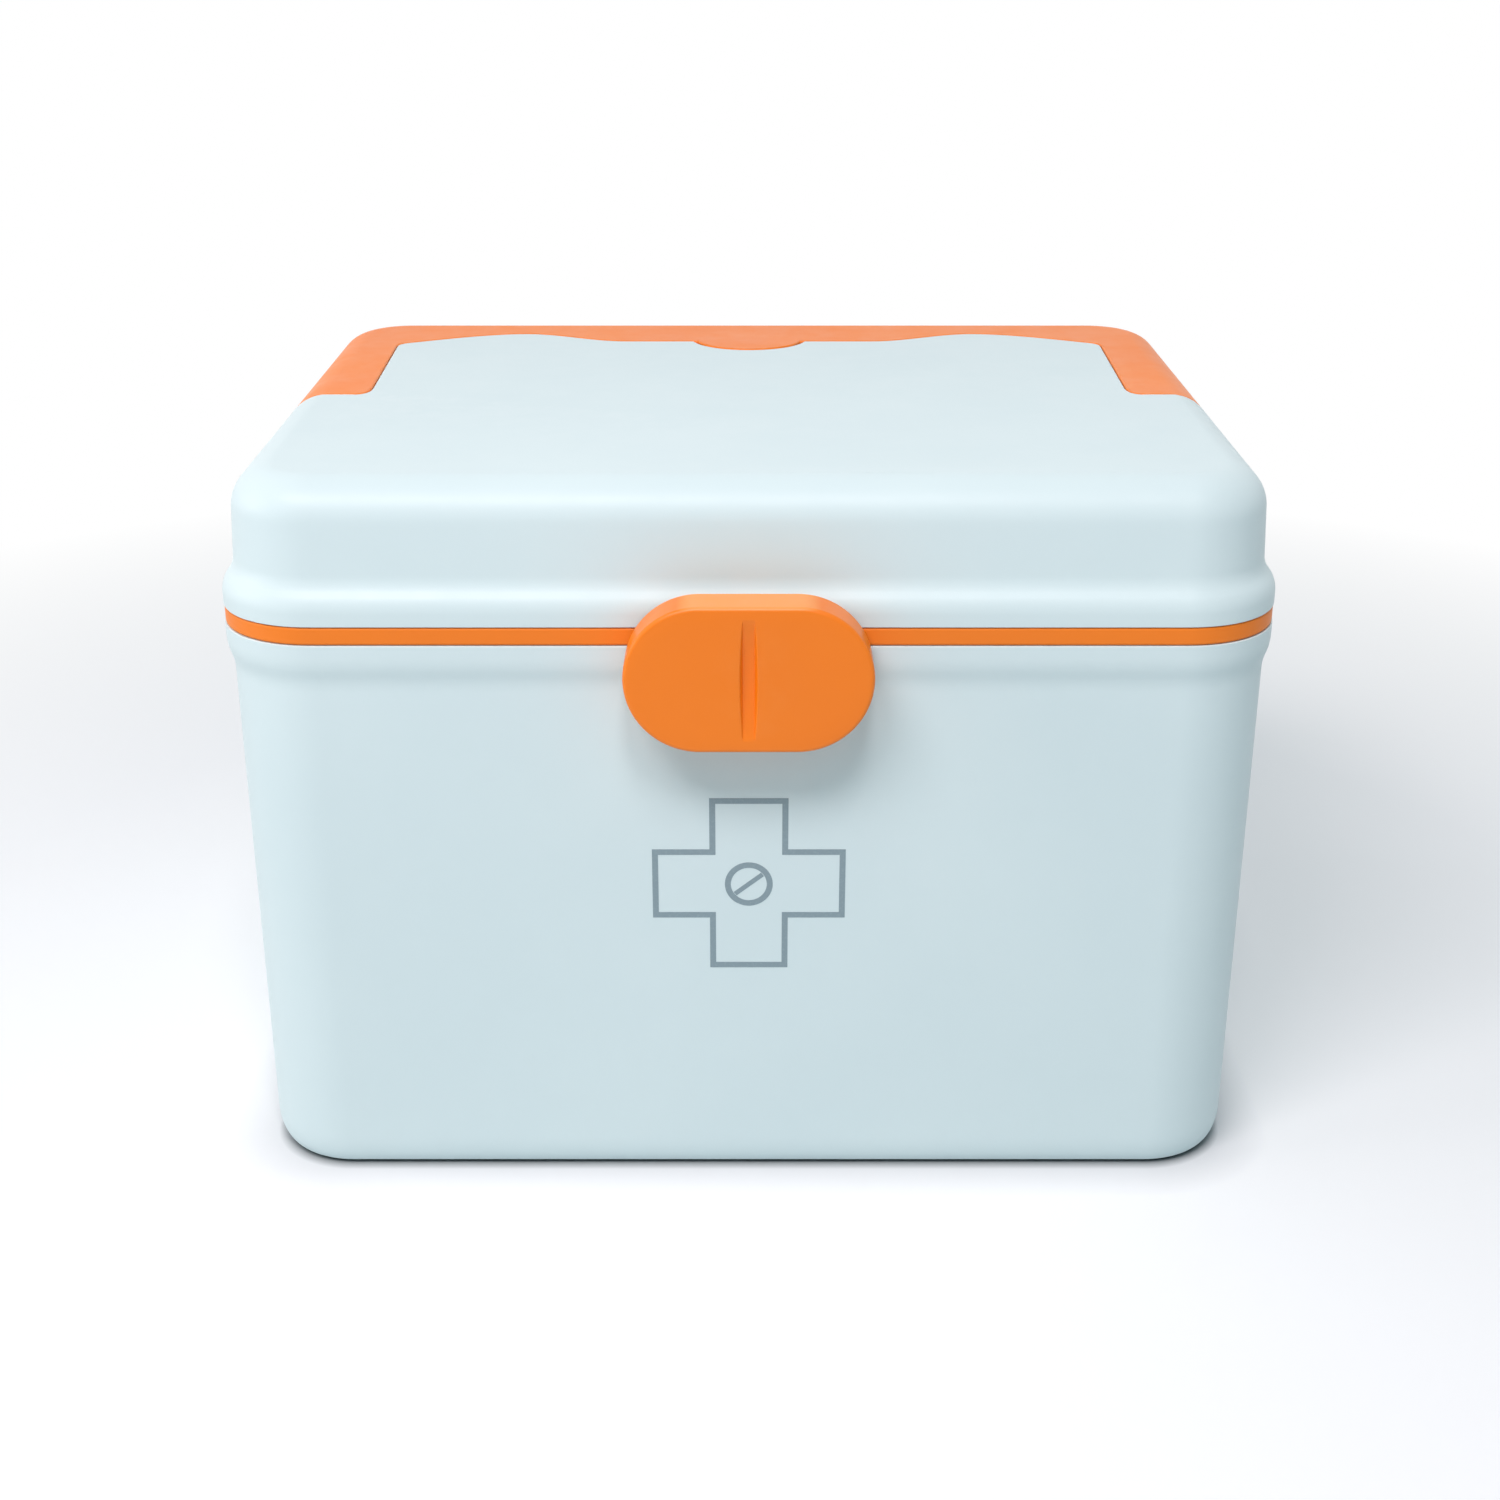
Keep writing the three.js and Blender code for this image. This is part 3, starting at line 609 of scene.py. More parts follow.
class NodeBoard:
    """The nodes of one material or of the world."""

    def __init__(self, owner: Material | bpy.types.World) -> None:
        """Clears the owner's nodes.

        Args:
            owner: The material or the world.
        """
        owner.use_nodes = True
        self.owner = owner
        self.tree = owner.node_tree
        self.tree.nodes.clear()

    def node(self, kind: str, settings: dict[str, object], sockets: Sockets) -> bpy.types.Node:
        """Adds one node.

        Args:
            kind: The node's type.
            settings: Its properties, set first.
            sockets: Values or links for its inputs, by name or number.

        Returns:
            The node.
        """
        node = self.tree.nodes.new(kind)
        for key, value in settings.items():
            setattr(node, key, value)
        for key, value in sockets.items():
            usable = [socket for socket in node.inputs if socket.enabled]
            socket = usable[key] if isinstance(key, int) else next(s for s in usable if s.name == key)
            if isinstance(value, Signal):
                self.tree.links.new(value.socket, socket)
            elif isinstance(value, tuple) and socket.type == "RGBA":
                socket.default_value = (*value, 1)
            else:
                socket.default_value = value
        return node

    def signal(
        self, kind: str, settings: dict[str, object], sockets: Sockets, output: str = "",
    ) -> Signal:
        """Adds one node and wraps one of its outputs.

        Args:
            kind: The node's type.
            settings: Its properties.
            sockets: Values or links for its inputs.
            output: The output's name, or nothing for the first one in use.

        Returns:
            The output.
        """
        node = self.node(kind, settings, sockets)
        usable = [socket for socket in node.outputs if socket.enabled]
        return Signal(self, next(s for s in usable if not output or s.name == output))

    def rays(self, *kinds: str) -> list[Signal]:
        """Gives for each kind of ray whether the present one is of that kind."""
        path = self.node("ShaderNodeLightPath", {}, {})
        return [Signal(self, path.outputs[kind]) for kind in kinds]

    def place(self) -> Signal:
        """Gives the place on the piece in metres."""
        return self.signal("ShaderNodeTexCoord", {}, {}, "Object")

    def noise(self, grain: float, detail: float = 2.0, roughness: float = 0.5) -> Signal:
        """Adds a noise of one grain.

        Args:
            grain: Size of its features in millimetres.
            detail: Octaves of finer detail.
            roughness: How strong the finer detail is.

        Returns:
            The noise, about 0.5 on average.
        """
        return self.signal("ShaderNodeTexNoise", {}, {
            "Vector": self.place(), "Scale": 1 / (grain * METRES_PER_MM), "Detail": detail,
            "Roughness": roughness}, "Fac")

    def ends(self, value: Signal, low: float, high: float) -> Signal:
        """Stretches a value so that low becomes 0 and high becomes 1."""
        sockets = {"Value": value, "From Min": low, "From Max": high}
        return self.signal("ShaderNodeMapRange", {"clamp": True}, sockets)

    def patches(
        self, low: float, high: float, grain: float, detail: float = 2.0, roughness: float = 0.5,
    ) -> Signal:
        """Adds a noise whose values from low to high become 0 to 1.

        Args:
            low: Where it starts to rise.
            high: Where it is full.
            grain: Size of its features in millimetres.
            detail: Octaves of finer detail.
            roughness: How strong the finer detail is.

        Returns:
            The patches.
        """
        return self.ends(self.noise(grain, detail, roughness), low, high)

    def vector(self, operation: str, sockets: Sockets, output: str = "Vector") -> Signal:
        """Adds one Vector Math node."""
        return self.signal("ShaderNodeVectorMath", {"operation": operation}, sockets, output)

    def bump(self, height: Signal, relief: float) -> Signal:
        """Turns a height into a tilt of the surface."""
        return self.signal("ShaderNodeBump", {}, {"Distance": relief, "Height": height}, "Normal")

    def edges(self) -> Signal:
        """Gives how far the surface stands out: above 0.5 on edges, below it in hollows."""
        return self.signal("ShaderNodeNewGeometry", {}, {}, "Pointiness")

    def blend(self, amount: Signal, first: "Signal | Colour", second: "Signal | Colour") -> Signal:
        """Mixes two colours.

        Args:
            amount: How much of the second.
            first: The first colour.
            second: The second colour.

        Returns:
            The mixed colour.
        """
        sockets = {"Factor": amount, "A": first, "B": second}
        return self.signal("ShaderNodeMix", {"data_type": "RGBA", "blend_type": "MIX"}, sockets, "Result")

    def surface(self, sockets: Sockets) -> Material:
        """Adds the shader and the output.

        Args:
            sockets: Values or links for the shader's inputs.

        Returns:
            The finished material.
        """
        shader = self.signal("ShaderNodeBsdfPrincipled", {}, sockets)
        self.node("ShaderNodeOutputMaterial", {}, {"Surface": shader})
        return self.owner


@dataclass(frozen=True)
class Moulding:
    """A moulded plastic with a satin skin: slow shifts of tone, fine spark-eroded grain, lighter edges that
    are partly wear and partly a painted highlight, painted shade in hollows and, above a set height, a
    painted sheen.
    """

    name: str
    colour: Colour
    # Darker tint for random tone and specks, also used for the painted shade in hollows.
    shade: Colour
    # Paler colour: worn edges, also used for painted edge highlights and for the painted sheen.
    wear_and_highlight: Colour
    roughness: float = 0.46
    grain: float = 0.5
    relief: float = 0.000012
    specular: float = 0.42
    tone: float = 0.5
    chalk: float = 0.25
    # Height in metres above which a painted sheen is laid; 1.0 puts it above everything, so none is laid.
    painted_sheen_from: float = 1.0

    def made(self) -> Material:
        """Builds the material.

        Returns:
            The material.
        """
        board = NodeBoard(bpy.data.materials.new(self.name))
        cloud = board.patches(0.35, 0.65, 55.0, 3.0)
        speck = board.patches(0.62, 0.78, 1.6)
        edge = board.edges()
        # Convex edges turn paler: partly wear, partly a painted highlight on the rounded edges.
        wear_and_edge_highlight = board.ends(edge, 0.52, 0.6) * board.patches(0.4, 0.7, 6.0, 4.0, 0.6)
        # Painted shade: hollows are darkened towards the darker tint.
        painted_hollow_shade = board.ends(edge, 0.49, 0.42)
        tinted = board.blend(cloud * self.tone, self.colour, self.shade)
        specked = board.blend(speck * 0.1, tinted, self.shade)
        wear_and_highlight = board.blend(wear_and_edge_highlight * 0.35, specked, self.wear_and_highlight)
        shaded = board.blend(painted_hollow_shade * 0.25, wear_and_highlight, self.shade)
        # Painted sheen: above a set height the colour is blended towards the paler colour.
        height = board.signal("ShaderNodeSeparateXYZ", {}, {"Vector": board.place()}, "Z")
        painted_top_sheen = board.ends(height, self.painted_sheen_from, self.painted_sheen_from + 0.0008)
        colour = board.blend(painted_top_sheen * 0.7, shaded, self.wear_and_highlight)
        handled = board.patches(0.3, 0.75, 18.0, 4.0, 0.6)
        streak = board.patches(0.3, 0.7, 4.0, 3.0)
        roughness = (handled - 0.5) * 0.09 + (streak - 0.5) * 0.04 + self.roughness - wear_and_edge_highlight * 0.06
        skin = board.noise(self.grain, 2.0, 0.6) * 0.75 + board.noise(self.grain * 3.4, 1.0) * 0.25
        return board.surface({
            "Base Color": colour, "Roughness": roughness, "Normal": board.bump(skin, self.relief),
            "Specular IOR Level": self.specular, "Diffuse Roughness": self.chalk})


@dataclass(frozen=True)
class Rubber:
    """A matt rubber with a powdery bloom."""

    name: str
    colour: Colour
    bloom: Colour
    roughness: float = 0.72
    relief: float = 0.00003
    specular: float = 0.35

    def made(self) -> Material:
        """Builds the material.

        Returns:
            The material.
        """
        board = NodeBoard(bpy.data.materials.new(self.name))
        dust = board.patches(0.45, 0.75, 3.5, 4.0, 0.65)
        pores = board.noise(0.35, 3.0, 0.7)
        edge = board.ends(board.edges(), 0.51, 0.6)
        colour = board.blend((dust * 0.4 + edge * 0.3).clipped(), self.colour, self.bloom)
        return board.surface({
            "Base Color": colour, "Roughness": dust * 0.12 + self.roughness,
            "Normal": board.bump(pores, self.relief), "Specular IOR Level": self.specular})


@dataclass(frozen=True)
class DrawnSteel:
    """Drawn steel wire: fine lines round the pin and a few dull spots."""

    name: str
    colour: Colour = (0.56, 0.57, 0.58)
    dull: Colour = (0.38, 0.38, 0.39)
    relief: float = 0.000008

    def made(self) -> Material:
        """Builds the material.

        Returns:
            The material.
        """
        board = NodeBoard(bpy.data.materials.new(self.name))
        stretch = {"Vector": board.place(), "Scale": (6.0, 1.0, 1.0)}
        stretched = board.signal("ShaderNodeMapping", {}, stretch)
        lines = board.signal("ShaderNodeTexNoise", {}, {
            "Vector": stretched, "Scale": 900.0, "Detail": 2.0}, "Fac")
        spots = board.patches(0.5, 0.7, 1.8, 4.0, 0.6)
        colour = board.blend(spots * 0.6, self.colour, self.dull)
        return board.surface({
            "Base Color": colour, "Metallic": 1.0, "Roughness": 0.24 + spots * 0.2 + lines * 0.08,
            "Normal": board.bump(lines, self.relief)})


@dataclass(frozen=True)
class ScreenInk:
    """A screen-printed ink: a thin even film with small pinholes."""

    name: str
    colour: Colour
    thin: Colour
    relief: float = 0.000008

    def made(self) -> Material:
        """Builds the material.

        Returns:
            The material.
        """
        board = NodeBoard(bpy.data.materials.new(self.name))
        cover = board.patches(0.5, 0.72, 0.7, 3.0, 0.65)
        mesh = board.noise(0.25, 1.0)
        colour = board.blend(cover * 0.35, self.colour, self.thin)
        return board.surface({
            "Base Color": colour, "Roughness": cover * 0.1 + 0.4, "Normal": board.bump(mesh, self.relief)})


@dataclass(frozen=True)
class Finishes:
    """Every finish of the box, made once."""

    shell: Material = field(default_factory=Moulding(
        "shell_plastic", (0.69, 0.8, 0.81), (0.655, 0.77, 0.785), (0.78, 0.86, 0.87)).made)
    accent: Material = field(default_factory=Moulding(
        "orange_plastic", (0.92, 0.22, 0.004), (0.88, 0.195, 0.003), (0.96, 0.38, 0.08), 0.4).made)
    # The latch gets a painted sheen on its top, above 160.1 mm.
    latch: Material = field(default_factory=Moulding(
        "latch_plastic", (0.92, 0.22, 0.004), (0.88, 0.195, 0.003), (0.97, 0.43, 0.13), 0.4,
        painted_sheen_from=0.1601).made)
    seal: Material = field(default_factory=Moulding(
        "seal_compound", (0.91, 0.225, 0.008), (0.86, 0.2, 0.006), (0.93, 0.32, 0.06), 0.5, 0.35).made)
    tray: Material = field(default_factory=Moulding(
        "tray_plastic", (0.76, 0.84, 0.87), (0.72, 0.81, 0.85), (0.84, 0.9, 0.92), 0.34, 0.7).made)
    divider: Material = field(default_factory=Moulding(
        "divider_plastic", (0.7, 0.79, 0.83), (0.66, 0.76, 0.8), (0.8, 0.87, 0.89), 0.32, 0.7).made)
    foot: Material = field(default_factory=Rubber(
        "foot_rubber", (0.2, 0.22, 0.235), (0.32, 0.34, 0.35)).made)
    pin: Material = field(default_factory=DrawnSteel("pin_steel").made)
    ink: Material = field(default_factory=ScreenInk(
        "grey_ink", (0.235, 0.315, 0.35), (0.34, 0.43, 0.47)).made)


@dataclass
class Hinge:
    """The rear hinge: two sets of knuckles, each turning on a steel pin."""

    spacing: float = 140.0
    line_y: float = 106.0
    line_z: float = 149.35
    barrel: float = 3.4
    pin: float = 1.25
    base_knuckle: float = 9.0
    lid_knuckle: float = 14.0
    gap: float = 0.3
    arm_root: float = 1.6
    arm_drop: float = 0.4
    arm_left: float = 0.1
    bore_length: float = 40.0

    def centres(self) -> Pair:
        """Gives the middles of the two sets along X."""
        return -self.spacing / 2, self.spacing / 2

    def knuckle(self, start: float, width: float, low: float, high: float, arm: Arm) -> Piece:
        """Models one knuckle with its arm.

        Args:
            start: Where it starts along X.
            width: Its width.
            low: Height of the arm's underside.
            high: Height of the arm's top.
            arm: Which shell it grows from.

        Returns:
            The knuckle.
        """
        barrel = BENCH.bar("knuckle", Axis.X, self.barrel, (start, self.line_y, self.line_z), width)
        reach = self.line_y + self.barrel * math.sqrt(0.5)
        web = BENCH.block("arm", (start, RIM.half_y - self.arm_root, low), (start + width, reach, high))
        height = low if arm is Arm.COLLAR else high
        cut = min(high - low, reach - RIM.half_y) - self.arm_left
        BENCH.soften(web, cut, 1, lambda edge: (
            fold_of(edge) > 80 and level_at(edge, height) and above(edge, reach, 1)))
        return BENCH.combine(web, Join.ADD, barrel)

    def drill(self, piece: Piece, centre: float) -> None:
        """Cuts the bore through one set.

        Args:
            piece: The base or the lid.
            centre: The set's middle along X.
        """
        start = (centre - self.bore_length / 2, self.line_y, self.line_z)
        BENCH.drill(piece, self.pin + self.gap, start, self.bore_length)

    def fit_base(self, base: Piece, collar_top: float, low: float) -> None:
        """Adds the base's knuckles.

        Args:
            base: The base container.
            collar_top: Height of the collar's top.
            low: Height of the arm's underside.
        """
        half = self.lid_knuckle / 2 + self.gap
        for centre in self.centres():
            for start in (centre - half - self.base_knuckle, centre + half):
                BENCH.combine(base, Join.ADD, self.knuckle(
                    start, self.base_knuckle, low, collar_top - self.arm_drop, Arm.COLLAR))
            self.drill(base, centre)

    def fit_lid(self, lid: Piece, low: float, high: float) -> None:
        """Adds the lid's knuckles.

        Args:
            lid: The lid's shell.
            low: Height of the arm's underside.
            high: Height of the arm's top.
        """
        for centre in self.centres():
            BENCH.combine(lid, Join.ADD, self.knuckle(
                centre - self.lid_knuckle / 2, self.lid_knuckle, low, high, Arm.SKIRT))
            self.drill(lid, centre)

    def dress(self, finishes: Finishes) -> None:
        """Models the two pins.

        Args:
            finishes: The box's finishes.
        """
        length = self.lid_knuckle + 2 * self.base_knuckle
        for side, centre in zip(("left", "right"), self.centres()):
            start = (centre - length / 2, self.line_y, self.line_z)
            BENCH.pin(f"hinge_pin_{side}", "base", finishes.pin, self.pin, start, length)


@dataclass
class BaseContainer:
    """The lower shell: tapering walls, a collar at the rim and the tongue that the lid closes over."""

    stand: float = 0.4
    collar_top: float = 147.0
    collar_bottom: float = 143.8
    arm_low: float = 141.0
    wall_top: float = 134.8
    wall_inset: float = 1.6
    draft: float = 0.7
    fillet: float = 4.0
    fillet_stretch: float = 2.2
    inner_round: float = 3.0
    floor: float = 2.8
    tongue_inset: float = 2.5
    tongue_top: float = 156.0
    tongue_root: Level = (0.4, 0.3)
    inner_inset: float = 4.1
    rib_top: float = 143.8
    rib_reach: float = 8.6
    rib: float = 2.4
    rib_foot: float = 6.4
    lip: float = 0.5
    catch_width: float = 28.0
    catch_low: float = 133.3
    catch_high: float = 136.3
    catch_reach: float = 1.5
    catch_wall: float = 135.0
    catch_root: float = 1.2
    catch_round: float = 0.6
    foot_half: Pair = (12.0, 7.0)
    foot_corner: float = 4.0
    foot_place: Pair = (104.0, 76.0)
    foot_height: float = 2.0
    foot_edge: float = 0.4
    foot_gap: float = 0.3
    pocket: float = 2.2
    sole: tuple[Level, ...] = ((2.0, 0.0), (2.3, 0.3), (2.6, 0.3), (2.9, 0.05), (3.6, 0.05), (3.9, 0.3))

    def bend(self) -> float:
        """Gives the height at which the wall bends to the underside."""
        return self.stand + self.fillet * self.fillet_stretch

    def wall_y(self, z: float) -> float:
        """Gives the front wall's Y at one height."""
        share = (self.wall_top - z) / (self.wall_top - self.bend())
        return -(RIM.half_y - self.wall_inset - self.draft * share)

    def shell(self) -> Piece:
        """Draws the shell from its collar, down round the outside and up, over and down the inside.

        Returns:
            The shell.
        """
        edge = RIM.edge
        shell = BENCH.rounded(
            "base", (RIM.half_x, RIM.half_y), RIM.corner, self.collar_bottom, self.collar_top - edge)
        low = self.wall_inset + self.draft
        bend = self.bend()
        BENCH.climb(shell, self.collar_bottom, -1, [
            *stepped(0.0, self.wall_inset, self.collar_bottom, self.wall_top),
            (low, bend),
            *quarter(low, bend, self.fillet, -1, True, 12, self.fillet_stretch),
        ])
        floor = self.stand + self.floor
        inner_low = self.inner_inset + self.draft
        lip = self.lip
        BENCH.climb(shell, self.collar_top - edge, 1, [
            *quarter(0.0, self.collar_top - edge, edge, 1, True, 3),
            (self.tongue_inset - self.tongue_root[0], self.collar_top),
            (self.tongue_inset, self.collar_top + self.tongue_root[1]),
            (self.tongue_inset, self.tongue_top - lip),
            *quarter(self.tongue_inset, self.tongue_top - lip, lip, 1, True, 3),
            *quarter(self.inner_inset - lip, self.tongue_top, lip, -1, False, 3),
            (self.inner_inset, self.wall_top),
            (inner_low, floor + self.inner_round),
            *quarter(inner_low, floor + self.inner_round, self.inner_round, -1, True, 6),
        ])
        return shell

    def ribs(self) -> list[Piece]:
        """Models the upright ribs that carry the tray.

        Returns:
            The ribs.
        """
        half = self.rib / 2
        low = self.stand + self.floor / 2
        rim = (RIM.half_x, RIM.half_y)
        outer = [reach - self.inner_inset + half for reach in rim]
        inner = [reach - self.inner_inset - self.rib_reach for reach in rim]
        ribs = []
        for side in (-1, 1):
            for end in (-1, 1):
                ways = (side, end)
                for along, across in ((0, 1), (1, 0)):
                    run = sorted((ways[along] * inner[along], ways[along] * outer[along]))
                    middle = ways[across] * rim[across] / 2
                    first, last = [0.0, 0.0, low], [0.0, 0.0, self.rib_top]
                    first[along], last[along] = run
                    first[across], last[across] = middle - half, middle + half
                    rib = BENCH.block("rib", tuple(first), tuple(last))
                    BENCH.soften(rib, self.rib_foot, 4, lambda edge, along=along: (
                        level_at(edge, low)
                        and all(abs(v.co[along]) > outer[along] - TOUCH for v in edge.verts)))
                    ribs.append(rib)
        return ribs

    def catch(self) -> Piece:
        """Models the bar under the collar that the latch's hook snaps over.

        Returns:
            The bar.
        """
        half = self.catch_width / 2
        face = -(RIM.half_y + self.catch_reach)
        root = self.wall_y(self.catch_wall) + self.catch_root
        bar = BENCH.block("catch", (-half, face, self.catch_low), (half, root, self.catch_high))
        BENCH.soften(bar, self.catch_round, 3, lambda edge: below(edge, face, 1))
        return bar

    def foot_places(self) -> dict[str, Pair]:
        """Gives each foot's place by its name."""
        x, y = self.foot_place
        return {"front_left": (-x, -y), "front_right": (x, -y), "rear_left": (-x, y), "rear_right": (x, y)}

    def dress(self, hinge: Hinge, finishes: Finishes) -> None:
        """Models the container and its feet.

        Args:
            hinge: The rear hinge.
            finishes: The box's finishes.
        """
        shell = self.shell()
        BENCH.combine(shell, Join.ADD, *self.ribs(), self.catch())
        hinge.fit_base(shell, self.collar_top, self.arm_low)
        gap = self.foot_gap
        half = (self.foot_half[0] + gap, self.foot_half[1] + gap)
        for place in self.foot_places().values():
            pocket = BENCH.rounded("pocket", half, self.foot_corner + gap, -2.0, self.pocket, place, 8)
            BENCH.combine(shell, Join.CUT, pocket)
        BENCH.hand_over(shell, "base_container", "base", finishes.shell)
        for name, place in self.foot_places().items():
            self.dress_foot(name, place, finishes)

    def dress_foot(self, name: str, place: Pair, finishes: Finishes) -> None:
        """Models one foot: a rounded pad with a shallow cup in its sole.

        Args:
            name: Which foot.
            place: Its middle in X and Y.
            finishes: The box's finishes.
        """
        edge = self.foot_edge
        foot = BENCH.rounded("foot", self.foot_half, self.foot_corner, edge, self.foot_height, place, 8)
        BENCH.climb(foot, edge, -1, [*quarter(0.0, edge, edge, -1, True, 4), *self.sole])
        BENCH.hand_over(foot, f"foot_{name}", "base", finishes.foot)


@dataclass
class SealBand:
    """The soft band that the lid closes on, between the collar and the skirt."""

    low: float = 147.1
    high: float = 151.6
    inset: float = 0.2
    inner: float = 2.3
    crown: float = 0.7

    def dress(self, finishes: Finishes) -> None:
        """Models the band as a ring with a crowned outside.

        Args:
            finishes: The box's finishes.
        """
        half = (RIM.half_x - self.inset, RIM.half_y - self.inset)
        low, high = self.low + self.crown, self.high - self.crown
        band = BENCH.rounded("band", half, RIM.corner - self.inset, low, high)
        inner = self.inner - self.inset
        BENCH.climb(band, high, 1, [*quarter(0.0, high, self.crown, 1, True, 5), (inner, self.high)])
        BENCH.climb(band, low, -1, [*quarter(0.0, low, self.crown, -1, True, 5), (inner, self.low)])
        BENCH.pick(band, Pick.FACES, lambda face: abs(face.normal.z) > 0.9 and len(face.verts) > 8)
        bpy.ops.mesh.bridge_edge_loops()
        BENCH.done()
        BENCH.hand_over(band, "seal_band", "base", finishes.seal)


@dataclass
class HandleForm:
    """The folded handle's outline, which the lid's bay follows with a gap."""

    dome_x: float = 126.14
    dome_y: float = 98.14
    pivot_y: float = 1.0
    pivot_z: float = 180.5
    underside: float = 167.9
    leg: float = 22.2
    leg_taper: float = 1.6
    bar_width: float = 22.0
    bulge: float = 11.0
    corner_y: float = 61.2
    corner_round: float = 5.0
    corner_slope: float = math.radians(28)
    corner_sweep: float = 9.5
    grip_from: float = 68.0
    grip_curve: float = 31.0
    leg_end: float = 8.7
    leg_end_round: float = 4.4
    over: float = 189.0
    lip: float = 16.0
    lip_y: float = 69.34
    lip_depth: float = 3.0
    lip_gap: float = 1.2
    past: float = 3.0

    def leg_x(self) -> float:
        """Gives the leg's inner side."""
        return self.dome_x - self.leg

    def region(self, gap: float, low: float, high: float) -> Piece:
        """Draws all behind the handle's inner edge, out past the lid.

        Args:
            gap: How far the inner edge moves forwards and inwards.
            low: Height of its underside.
            high: Height of its top.

        Returns:
            The solid.
        """
        leg = self.leg_x() - gap
        bar = self.dome_y - self.bar_width - gap
        grip = bar - self.bulge
        start = self.grip_from
        third = self.grip_curve / 3
        turn = math.pi / 2 - self.corner_slope
        cut = self.corner_round * math.tan(turn / 2)
        pull = self.corner_round * math.tan(turn / 4) * 4 / 3
        along = Vector((-math.cos(self.corner_slope), math.sin(self.corner_slope)))
        corner = Vector((leg + self.leg_taper, self.corner_y - gap * math.tan(turn / 2)))
        leave = corner + along * cut
        sweep = self.corner_sweep
        right = [
            Knot((RIM.half_x + self.past, self.pivot_y)),
            Knot((leg, self.pivot_y)),
            Knot((corner.x, corner.y - cut), after=(corner.x, corner.y - cut + pull)),
            Knot(tuple(leave), before=tuple(leave - along * pull), after=tuple(leave + along * sweep)),
            Knot((start, bar), before=(start + sweep * 1.25, bar), after=(start - third, bar)),
            Knot((start - self.grip_curve, grip), before=(start - 2 * third, grip)),
        ]
        left = [
            Knot(
                (-knot.place[0], knot.place[1]),
                before=(-knot.after[0], knot.after[1]) if knot.after else None,
                after=(-knot.before[0], knot.before[1]) if knot.before else None,
            )
            for knot in reversed(right)
        ]
        corners = [Knot((side * (RIM.half_x + self.past), RIM.half_y + self.past)) for side in (-1, 1)]
        return BENCH.outline("region", [*right, *left, *corners], low, high)

    def leg_ends(self, gap: float) -> list[Piece]:
        """Models the two legs' front ends, turned about the pivot.

        Args:
            gap: How far they are grown.

        Returns:
            The right end and the left end.
        """
        ends = []
        start = self.leg_x() - gap
        bend = self.leg_end_round
        length = RIM.half_x + self.past - start - bend
        for side in (1, -1):
            end = BENCH.bar("leg_end", Axis.Z, self.leg_end + gap, (0, 0, bend), length, 96)
            BENCH.climb(end, bend, -1, quarter(0.0, bend, bend, -1, True))
            BENCH.turn(end, (0, side * math.pi / 2, 0), (side * start, self.pivot_y, self.pivot_z))
            ends.append(end)
        return ends

    def envelope(self, gap: float, low: float) -> Piece:
        """Models all that the handle takes up, grown by a gap.

        Args:
            gap: How far it is grown.
            low: Height of its underside.

        Returns:
            The solid.
        """
        return BENCH.combine(self.region(gap, low, self.over), Join.ADD, *self.leg_ends(gap))

    def lip_round(self, grown: float, low: float, high: float) -> Piece:
        """Models the round of the grip's lip, the tab that a fingernail lifts.

        Args:
            grown: How far its radius is grown.
            low: Height of its underside.
            high: Height of its top.

        Returns:
            The round.
        """
        return BENCH.bar("lip", Axis.Z, self.lip + grown, (0, self.lip_y, low), high - low, 160)

    def skin(self, inset: float, low: float) -> Piece:
        """Models the dome above one height.

        Args:
            inset: How far it lies under the dome's surface.
            low: Height of its underside.

        Returns:
            The solid.
        """
        dome = Lid.side_inset(low) + inset
        lean = Lid.dome_inset + inset - dome
        start = low + 0.2
        skin = BENCH.rounded("skin", (RIM.half_x - dome, RIM.half_y - dome), RIM.corner - dome, low, start)
        BENCH.climb(skin, start, 1, [
            (lean, Lid.shoulder_low), *quarter(lean, Lid.shoulder_low, Lid.shoulder - inset, 1, True, 14)])
        return skin


